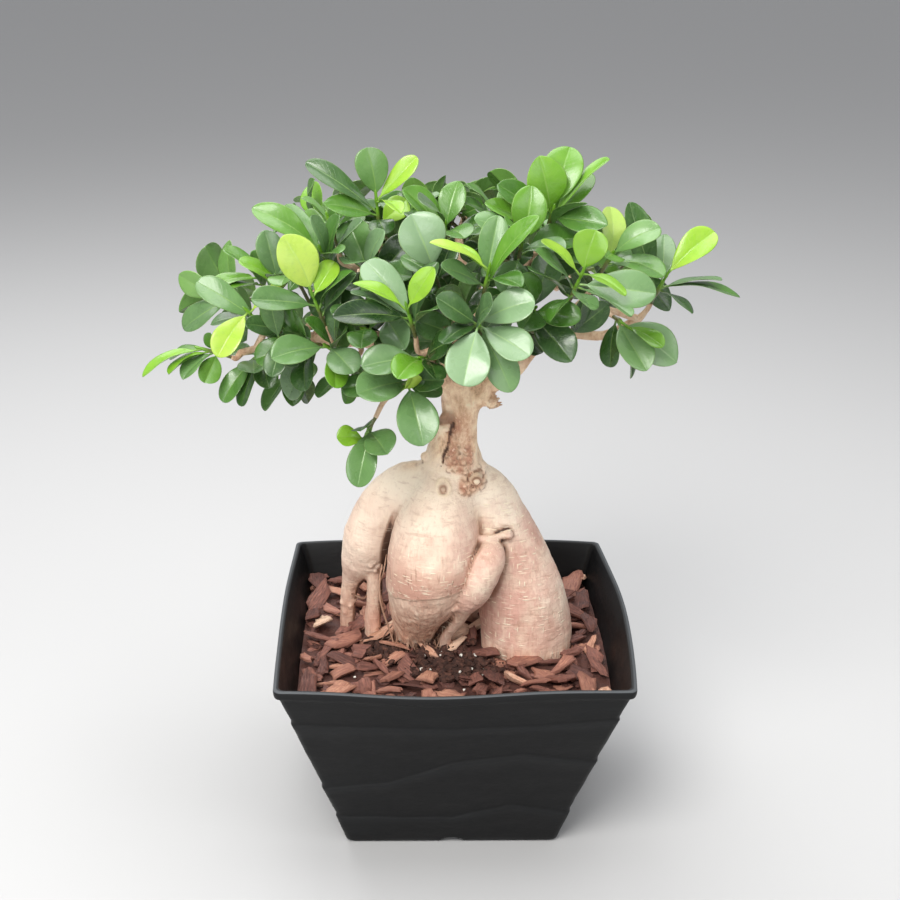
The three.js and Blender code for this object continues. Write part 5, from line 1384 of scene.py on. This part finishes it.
def add_pot():
    wave = rim_wave()
    # Levels up the outside, each with its height round the ring and how far it stands in.
    levels = [(np.zeros_like(wave), 1.5, 1), (wave * 0 + 2, 0.0, 11)]
    for k, row in enumerate(LEDGES):
        line = ledge(row, 91 + k)
        levels.append((line, 0.2, 3))
        levels.append((line + LEDGE_STEP, LEDGE_DEPTH, LEDGE_RINGS[k]))
    levels.append((POT_HEIGHT - RIM_DEPTH + wave, 0.6, 1))
    rings = []
    for (z0, in0, rows), (z1, in1, _) in zip(levels, levels[1:]):
        for r in range(rows):
            t = r / rows
            z = lerp(z0, z1, t)
            inset = lerp(in0, in1, t ** 1.4 if rows > 4 else t)
            edge = smooth(0.75, 1.0, t) if rows > 4 else 1 - t
            bow = np.clip(z / POT_HEIGHT, 0, 1) * (0 if len(rings) < 2 else 1)
            rings.append((z, half_at(z) - inset, bow, edge))
    solid = []
    for z, half, bow, edge in rings:
        ring = ring_at(half, bow, z)
        relief = layered_noise(ring * (1, 1, 2.4), 34, 61)
        steps = np.floor(relief * 3.2) / 3.2
        settle = smooth(0.0, 0.35, relief * 3.2 - np.floor(relief * 3.2))
        terrace = (steps + settle / 3.2) * 0.35 - 0.2
        fade = smooth(4, 14, z) * smooth(138, 128, z)
        out = ring * (1, 1, 0)
        out /= np.linalg.norm(out, axis=1)[:, None]
        # The ledge edges carry a painted highlight.
        solid.append((ring + out * (terrace * fade)[:, None], edge * fade * 0.5 + 0.15 * (1 - settle) * fade))
    for drop, inset, edge in LIP:
        solid.append((ring_at(half_at(POT_HEIGHT) - inset, 1, POT_HEIGHT + drop + wave), edge + 0 * wave))
    for z, rest in ((141, 0.8), (136, 0.5), (130, 0.2), (125, 0.0), (110, 0), (60, 0), (POT_FLOOR + 2, 0)):
        inner = ring_at(half_at(z) - INNER_WALL, 0.8 * min(z / 125, 1), z + wave * rest)
        solid.append((inner, wave * 0))
    solid.append((ring_at(half_at(POT_FLOOR) - POT_WALL - 2, 0, POT_FLOOR), wave * 0))
    points = np.concatenate([ring for ring, _ in solid])
    edge = np.concatenate([e for _, e in solid])
    build = Builder()
    build.add(points, stacked(len(solid), len(OUTLINE)), pot_edge=edge)
    pot = build.make("pot_shell", pot_finish(), ["pot"], sharp=50)
    cut_pot(pot)


def cut_pot(pot):
    """Cuts the drain holes and the grooves that lead out from them."""
    for kind in ("hole", "groove"):
        build = Builder()
        for s in range(4):
            angle = s * math.pi / 2
            toward = np.array([math.cos(angle), math.sin(angle), 0])
            across = np.array([-toward[1], toward[0], 0])
            if kind == "hole":
                path = [toward * DRAIN_OFFSET + UP * z for z in (-3, POT_FLOOR + 4)]
                build.add(*tube(path, [DRAIN_RADIUS] * 2, 24))
                continue
            turn = np.linspace(0, math.pi, 17)
            profile = [(GROOVE_RADIUS * math.cos(a), GROOVE_HEIGHT * math.sin(a)) for a in turn]
            profile += [(-GROOVE_RADIUS, -3), (GROOVE_RADIUS, -3)]
            rings = [[toward * far + across * x + UP * z for x, z in profile]
                     for far in (DRAIN_OFFSET, BASE_WIDTH / 2 + 5)]
            build.add(rings[0] + rings[1], stacked(2, len(profile)))
        mesh = bpy.data.meshes.new(kind)
        mesh.from_pydata((np.concatenate(build.points) * MM).tolist(), [], build.faces)
        cutter = placed(kind, mesh)
        cut = pot.modifiers.new(kind, "BOOLEAN")
        cut.operation, cut.solver, cut.object = "DIFFERENCE", "EXACT", cutter
        bpy.context.view_layer.update()
        made = bpy.data.meshes.new_from_object(pot.evaluated_get(bpy.context.evaluated_depsgraph_get()))
        pot.modifiers.clear()
        pot.data = made
        bpy.data.objects.remove(cutter)


# SOIL AND BARK

def near_root(x, y, spare):
    """True where a root stands in the bed."""
    return any(math.hypot(x - rows[-2][0], y - rows[-2][1]) < rows[-2][3] + spare
               for rows in TUBERS if rows[-1][2] == ROOT_BOTTOM)


def on_mound(x, y, grow=1.0):
    return (x / (34 * grow)) ** 2 + ((y + 36) / (20 * grow)) ** 2 < 1


def lump(draw, centre, radius, rough=0.35):
    """A small uneven grain."""
    faces = [(0, 1, 2), (0, 2, 3), (0, 3, 4), (0, 4, 5), (0, 5, 1), (1, 6, 2), (2, 7, 3), (3, 8, 4), (4, 9, 5),
             (5, 10, 1), (2, 6, 7), (3, 7, 8), (4, 8, 9), (5, 9, 10), (1, 10, 6), (6, 11, 7), (7, 11, 8), (8, 11, 9),
             (9, 11, 10), (10, 11, 6)]
    level_of, flat = 0.4472, 0.8944
    points = [(0, 0, 1)]
    for level, start in ((level_of, 0.0), (-level_of, math.pi / 5)):
        for i in range(5):
            a = start + i * 2 * math.pi / 5
            points.append((flat * math.cos(a), flat * math.sin(a), level))
    points.append((0, 0, -1))
    points = np.array(points)
    grow = 1 + rough * (draw.random((12, 1)) * 2 - 1)
    stretch = np.array([1, 0.7 + 0.5 * draw.random(), 0.6 + 0.4 * draw.random()])
    turn = Matrix.Rotation(draw.random() * 6.28, 3, "Z") @ Matrix.Rotation(draw.random() * 1.2, 3, "X")
    points = (points * grow * stretch * radius) @ np.array(turn).T
    return points + centre, faces


def add_soil(draw):
    """The fill, a mound of compost at the front centre with crumbs on it, and grains of perlite."""
    build = Builder()
    inset = POT_WALL + GAP + 0.9
    low = ring_at(half_at(POT_FLOOR + 2) - inset - 1, 0, POT_FLOOR + 1)
    high = ring_at(half_at(SOIL_TOP) - inset, 0, SOIL_TOP)
    build.add(np.vstack([low, high]), stacked(2, len(OUTLINE)), perlite=0.0)
    rings, sides = 16, 44
    points = []
    for k in range(rings + 1):
        t = 1 - k / rings
        a = np.arange(sides) / sides * 2 * math.pi
        x, y = 36 * t * np.cos(a), -36 + 21.5 * t * np.sin(a)
        z = np.interp(t, [0, 0.75, 0.92, 1.0], [BED_TOP + 1.6, BED_TOP + 0.6, BED_TOP - 3, SOIL_TOP - 1])
        ring = np.column_stack([x, y, np.full(sides, z)])
        ring[:, 2] += layered_noise(ring, 7, 71) * 0.9 * smooth(0.0, 0.1, 1 - t + 0.02)
        points.append(ring)
    build.add(np.concatenate(points), stacked(rings + 1, sides)[:-1], perlite=0.0)
    for _ in range(CRUMB_COUNT):
        while True:
            x, y = draw.random() * 100 - 62, draw.random() * 64 - 62
            if (on_mound(x, y, 1.1) or (x < 16 and y > -34)) and not near_root(x, y, 0.0):
                break
        radius = 0.7 + 3.6 * draw.random() ** 3
        build.add(*lump(draw, (x, y, BED_TOP + 1.4 + draw.random() * 1.2), radius), perlite=0.0)
    for k in range(PERLITE_COUNT):
        spread = 1.0 if k < PERLITE_COUNT * 0.6 else 2.4
        while True:
            x, y = draw.random() * 60 * spread - 30 * spread, -36 + (draw.random() - 0.5) * 36 * spread
            if max(abs(x), abs(y)) < 98 and not near_root(x, y, 1.0):
                break
        rest = 2.2 if spread == 1.0 else 4.0
        build.add(*lump(draw, (x, y, BED_TOP + rest), 0.8 + 0.9 * draw.random(), 0.2), perlite=1.0)
    build.make("compost", soil_finish(), ["soil"], sharp=40)


def chip(draw, centre, turn, tilt, lean, long, broad, thick):
    """A broken slab of bark: points, faces, and its own coordinates."""
    corners = []
    for x, y in ((-1, -1), (-0.1, -1), (1, -1), (1, 0.1), (1, 1), (0.1, 1), (-1, 1), (-1, -0.1)):
        middle = abs(x) < 0.5 or abs(y) < 0.5
        if draw.random() < (0.3 if middle else 0.2) and len(corners) != 2:
            continue
        play = 0.3 if middle else 0.62
        corners.append((x * (1.05 - play * draw.random()) + 0.3 * (draw.random() - 0.5) * (abs(x) < 0.5),
                        y * (1.05 - play * draw.random()) + 0.5 * (draw.random() - 0.5) * (abs(y) < 0.5)))
    ring = np.array(corners)
    after = np.roll(ring, -1, axis=0)
    out = (after - ring)[:, ::-1] * (1, -1)
    at = 0.35 + 0.3 * draw.random((len(ring), 1))
    between = lerp(ring, after, at) + 0.34 * (draw.random((len(ring), 1)) - 0.5) * out
    x, y = np.stack([ring, between], axis=1).reshape(-1, 2).T
    y = y * lerp(1.0, 0.45 + 0.6 * draw.random(), (x + 1) / 2)
    n = len(x)
    bow = (draw.random() - 0.4) * 0.12
    skew = (draw.random(2) - 0.5) * 0.6
    rings = []
    for z, scale in ((-0.5, 0.74), (-0.3, 0.95), (0.0, 1.02), (0.34, 0.94), (0.5, 0.8)):
        jitter = 1 + 0.14 * (draw.random(n) - 0.5)
        px, py = x * scale * jitter, y * scale * jitter
        pz = z * (1 + skew[0] * px + skew[1] * py) + 0.24 * (draw.random(n) - 0.5) * (abs(z) > 0.3)
        rings.append(np.column_stack([px, py, pz]))
    inner = rings[-1] * (0.5, 0.5, 1) + np.column_stack([np.zeros((n, 2)), 0.2 * (draw.random(n) - 0.4)])
    under = rings[0] * (0.5, 0.5, 1)
    own = np.concatenate([under, *rings, inner]) * (long / 2, broad / 2, thick)
    own[:, 2] += bow * long * (own[:, 0] / long * 2) ** 2
    own += 0.5 * (draw.random(own.shape) - 0.5)
    spin = Matrix.Rotation(turn, 3, "Z") @ Matrix.Rotation(tilt, 3, "Y") @ Matrix.Rotation(lean, 3, "X")
    side = np.concatenate([np.zeros(n), np.full(n, 0.4), np.ones(3 * n), np.full(n, 0.3), np.zeros(n)])
    return own @ np.array(spin).T + centre, stacked(len(own) // n, n), own, side


def wall_limit(points, inset):
    """How far x and y may go at each point before the inside of the wall."""
    z = points[:, 2]
    half, bow = half_at(z), 0.8 * np.clip(z / RIM_FADE, 0, 1)
    front, right, back, left = SIDE_BOWS
    rise_x = np.where(points[:, 0] > 0, right, left) * (1 - np.clip(points[:, 1] / half, -1, 1) ** 2)
    rise_y = np.where(points[:, 1] > 0, back, front) * (1 - np.clip(points[:, 0] / half, -1, 1) ** 2)
    return half - inset + bow * rise_x, half - inset + bow * rise_y


def add_bark(draw):
    """A bed of fine broken bark, with small chips pressed into it and large ones on top."""
    build = Builder()

    def lay(points, faces, own, tone, face):
        build.add(points, faces, chip_tone=tone, chip_face=face, chip_x=own[:, 0], chip_y=own[:, 1], chip_z=own[:, 2])

    inset = INNER_WALL + 0.3
    rings = [ring_at(half_at(SOIL_TOP + GAP) - inset, 0, SOIL_TOP + GAP)]
    for share in np.linspace(1, 0.02, 44):
        ring = ring_at(half_at(BED_TOP - 2) - inset, 0.75, BED_TOP - 1.6) * (share, share, 1)
        ring[:, 2] += layered_noise(ring, 9, 81) * 1.1
        rings.append(ring)
    points = np.concatenate(rings)
    lay(points, stacked(len(rings), len(OUTLINE)), points, 0.02 + 0.1 * layered_noise(points, 6, 83), 1.0)
    reach = half_at(BED_TOP) - inset + 1
    laid = []
    for k in range(CHIP_COUNT):
        top = k >= CHIP_COUNT * 0.45
        long = (19 + 25 * draw.random() ** 1.6) if top else 8 + 12 * draw.random()
        broad = min(long * (0.36 + 0.46 * draw.random()), 21)
        thick = (1.4 + 2.4 * draw.random()) * (1 if top else 0.8)
        found = False
        for _ in range(60):
            x, y = (draw.random(2) * 2 - 1) * (reach - broad * 0.3)
            if near_root(x, y, broad * 0.3) or on_mound(x, y, 0.95) and (top or draw.random() < 0.7):
                continue
            if not top or all((x - p) ** 2 + (y - q) ** 2 > (0.27 * (long + r)) ** 2 for p, q, r in laid):
                found = True
                break
        if not found:
            continue
        turn = draw.random() * 6.28
        room = reach + 2 - max(abs(x) + abs(math.cos(turn)) * long / 2, abs(y) + abs(math.sin(turn)) * long / 2)
        if room < 0:
            turn = (0 if abs(y) > abs(x) else math.pi / 2) + (draw.random() - 0.5) * 0.5
        edge = smooth(reach - 24, reach, max(abs(x), abs(y)))
        z = BED_TOP - 1.5 + 2.2 * draw.random() if not top else BED_TOP + 1.2 + 3.2 * draw.random() + 2.5 * edge
        tilt, lean = (draw.random(2) - 0.5) * (0.95 if top else 0.4)
        points, faces, own, side = chip(draw, (x, y, z), turn, tilt, lean, long, broad, thick)
        limit_x, limit_y = wall_limit(points, inset)
        points[:, 0] = np.clip(points[:, 0], -limit_x, limit_x)
        points[:, 1] = np.clip(points[:, 1], -limit_y, limit_y)
        tone = draw.choice([0.1, 0.26, 0.44, 0.6, 0.78, 0.94], p=[0.16, 0.26, 0.25, 0.18, 0.1, 0.05])
        if not top:
            tone *= 0.6
        else:
            laid.append((x, y, long))
        lay(points, faces, own, tone + 0.08 * draw.random(), side)
    build.make("bark_chips", chip_finish(), ["bark_mulch"], sharp=28)


# CAMERA, LIGHT AND FLOOR

def add_camera():
    x, y, z = camera_axes()
    data = bpy.data.cameras.new("camera")
    data.sensor_width = SENSOR
    data.lens = FOCAL_PIXELS / PICTURE_PIXELS * SENSOR
    camera = placed("camera", data)
    matrix = Matrix.Identity(4)
    for row in range(3):
        matrix[row][0], matrix[row][1], matrix[row][2] = x[row], y[row], z[row]
        matrix[row][3] = CAMERA_PLACE[row]
    camera.matrix_world = matrix
    bpy.context.scene.camera = camera


def add_light(name, place, size, power, colour):
    data = bpy.data.lights.new(name, "AREA")
    data.shape, data.size, data.energy, data.color = "DISK", size, power, colour
    light = placed(name, data)
    light.location = place
    light.rotation_euler = (Vector(LIGHT_AIM) - Vector(place)).to_track_quat("-Z", "Y").to_euler()


def add_stage():
    mesh = bpy.data.meshes.new("floor")
    mesh.from_pydata([(FLOOR_SIZE * x, FLOOR_SIZE * y, 0) for x, y in ((-1, -1), (1, -1), (1, 1), (-1, 1))], [],
                     [(0, 1, 2, 3)])
    m = Finish("floor_paint", roughness=0.7)
    m.shader.inputs["Base Color"].default_value = FLOOR_COLOUR
    mesh.materials.append(m.material)
    placed("floor", mesh)
    world = bpy.data.worlds.new("studio")
    world.use_nodes = True
    background = world.node_tree.nodes["Background"]
    background.inputs["Color"].default_value = SKY_COLOUR
    background.inputs["Strength"].default_value = SKY_STRENGTH
    bpy.context.scene.world = world
    bpy.context.scene.view_settings.view_transform = "Standard"
    for row in LIGHTS:
        add_light(*row)


add_camera()
add_stage()

grown_leaf = leaf_finish("leaf", 0.18)
young_leaf = leaf_finish("young_leaf", 0.3)
draw = np.random.default_rng(11)
shoots = {name: read_shoots(NODES[name]) for name in sorted(NODES) if name.startswith(("spray_", "young_"))}
give_looks([leaf for stems in shoots.values() for stem in stems for leaf in stem["leaves"]])
for name, stems in shoots.items():
    if name.startswith("spray_"):
        leafy_piece("leaves_" + name[6:], NODES[name], stems, grown_leaf, "leaf", plain_tones, draw)
    else:
        leafy_piece("fresh_" + name[6:], NODES[name], stems, young_leaf, "young_leaf", young_tones, draw)
spray_stems = [stems for name, stems in shoots.items() if name.startswith("spray_") and stems]

wood = wood_finish()
boughs = [catmull(rows, 48) for rows in BOUGHS]
add_inner_leaves(shoots, boughs, grown_leaf, np.random.default_rng(5))
add_wood(spray_stems, boughs, wood, draw)
add_fibres(wood, draw)
add_pot()
add_soil(draw)
add_bark(draw)
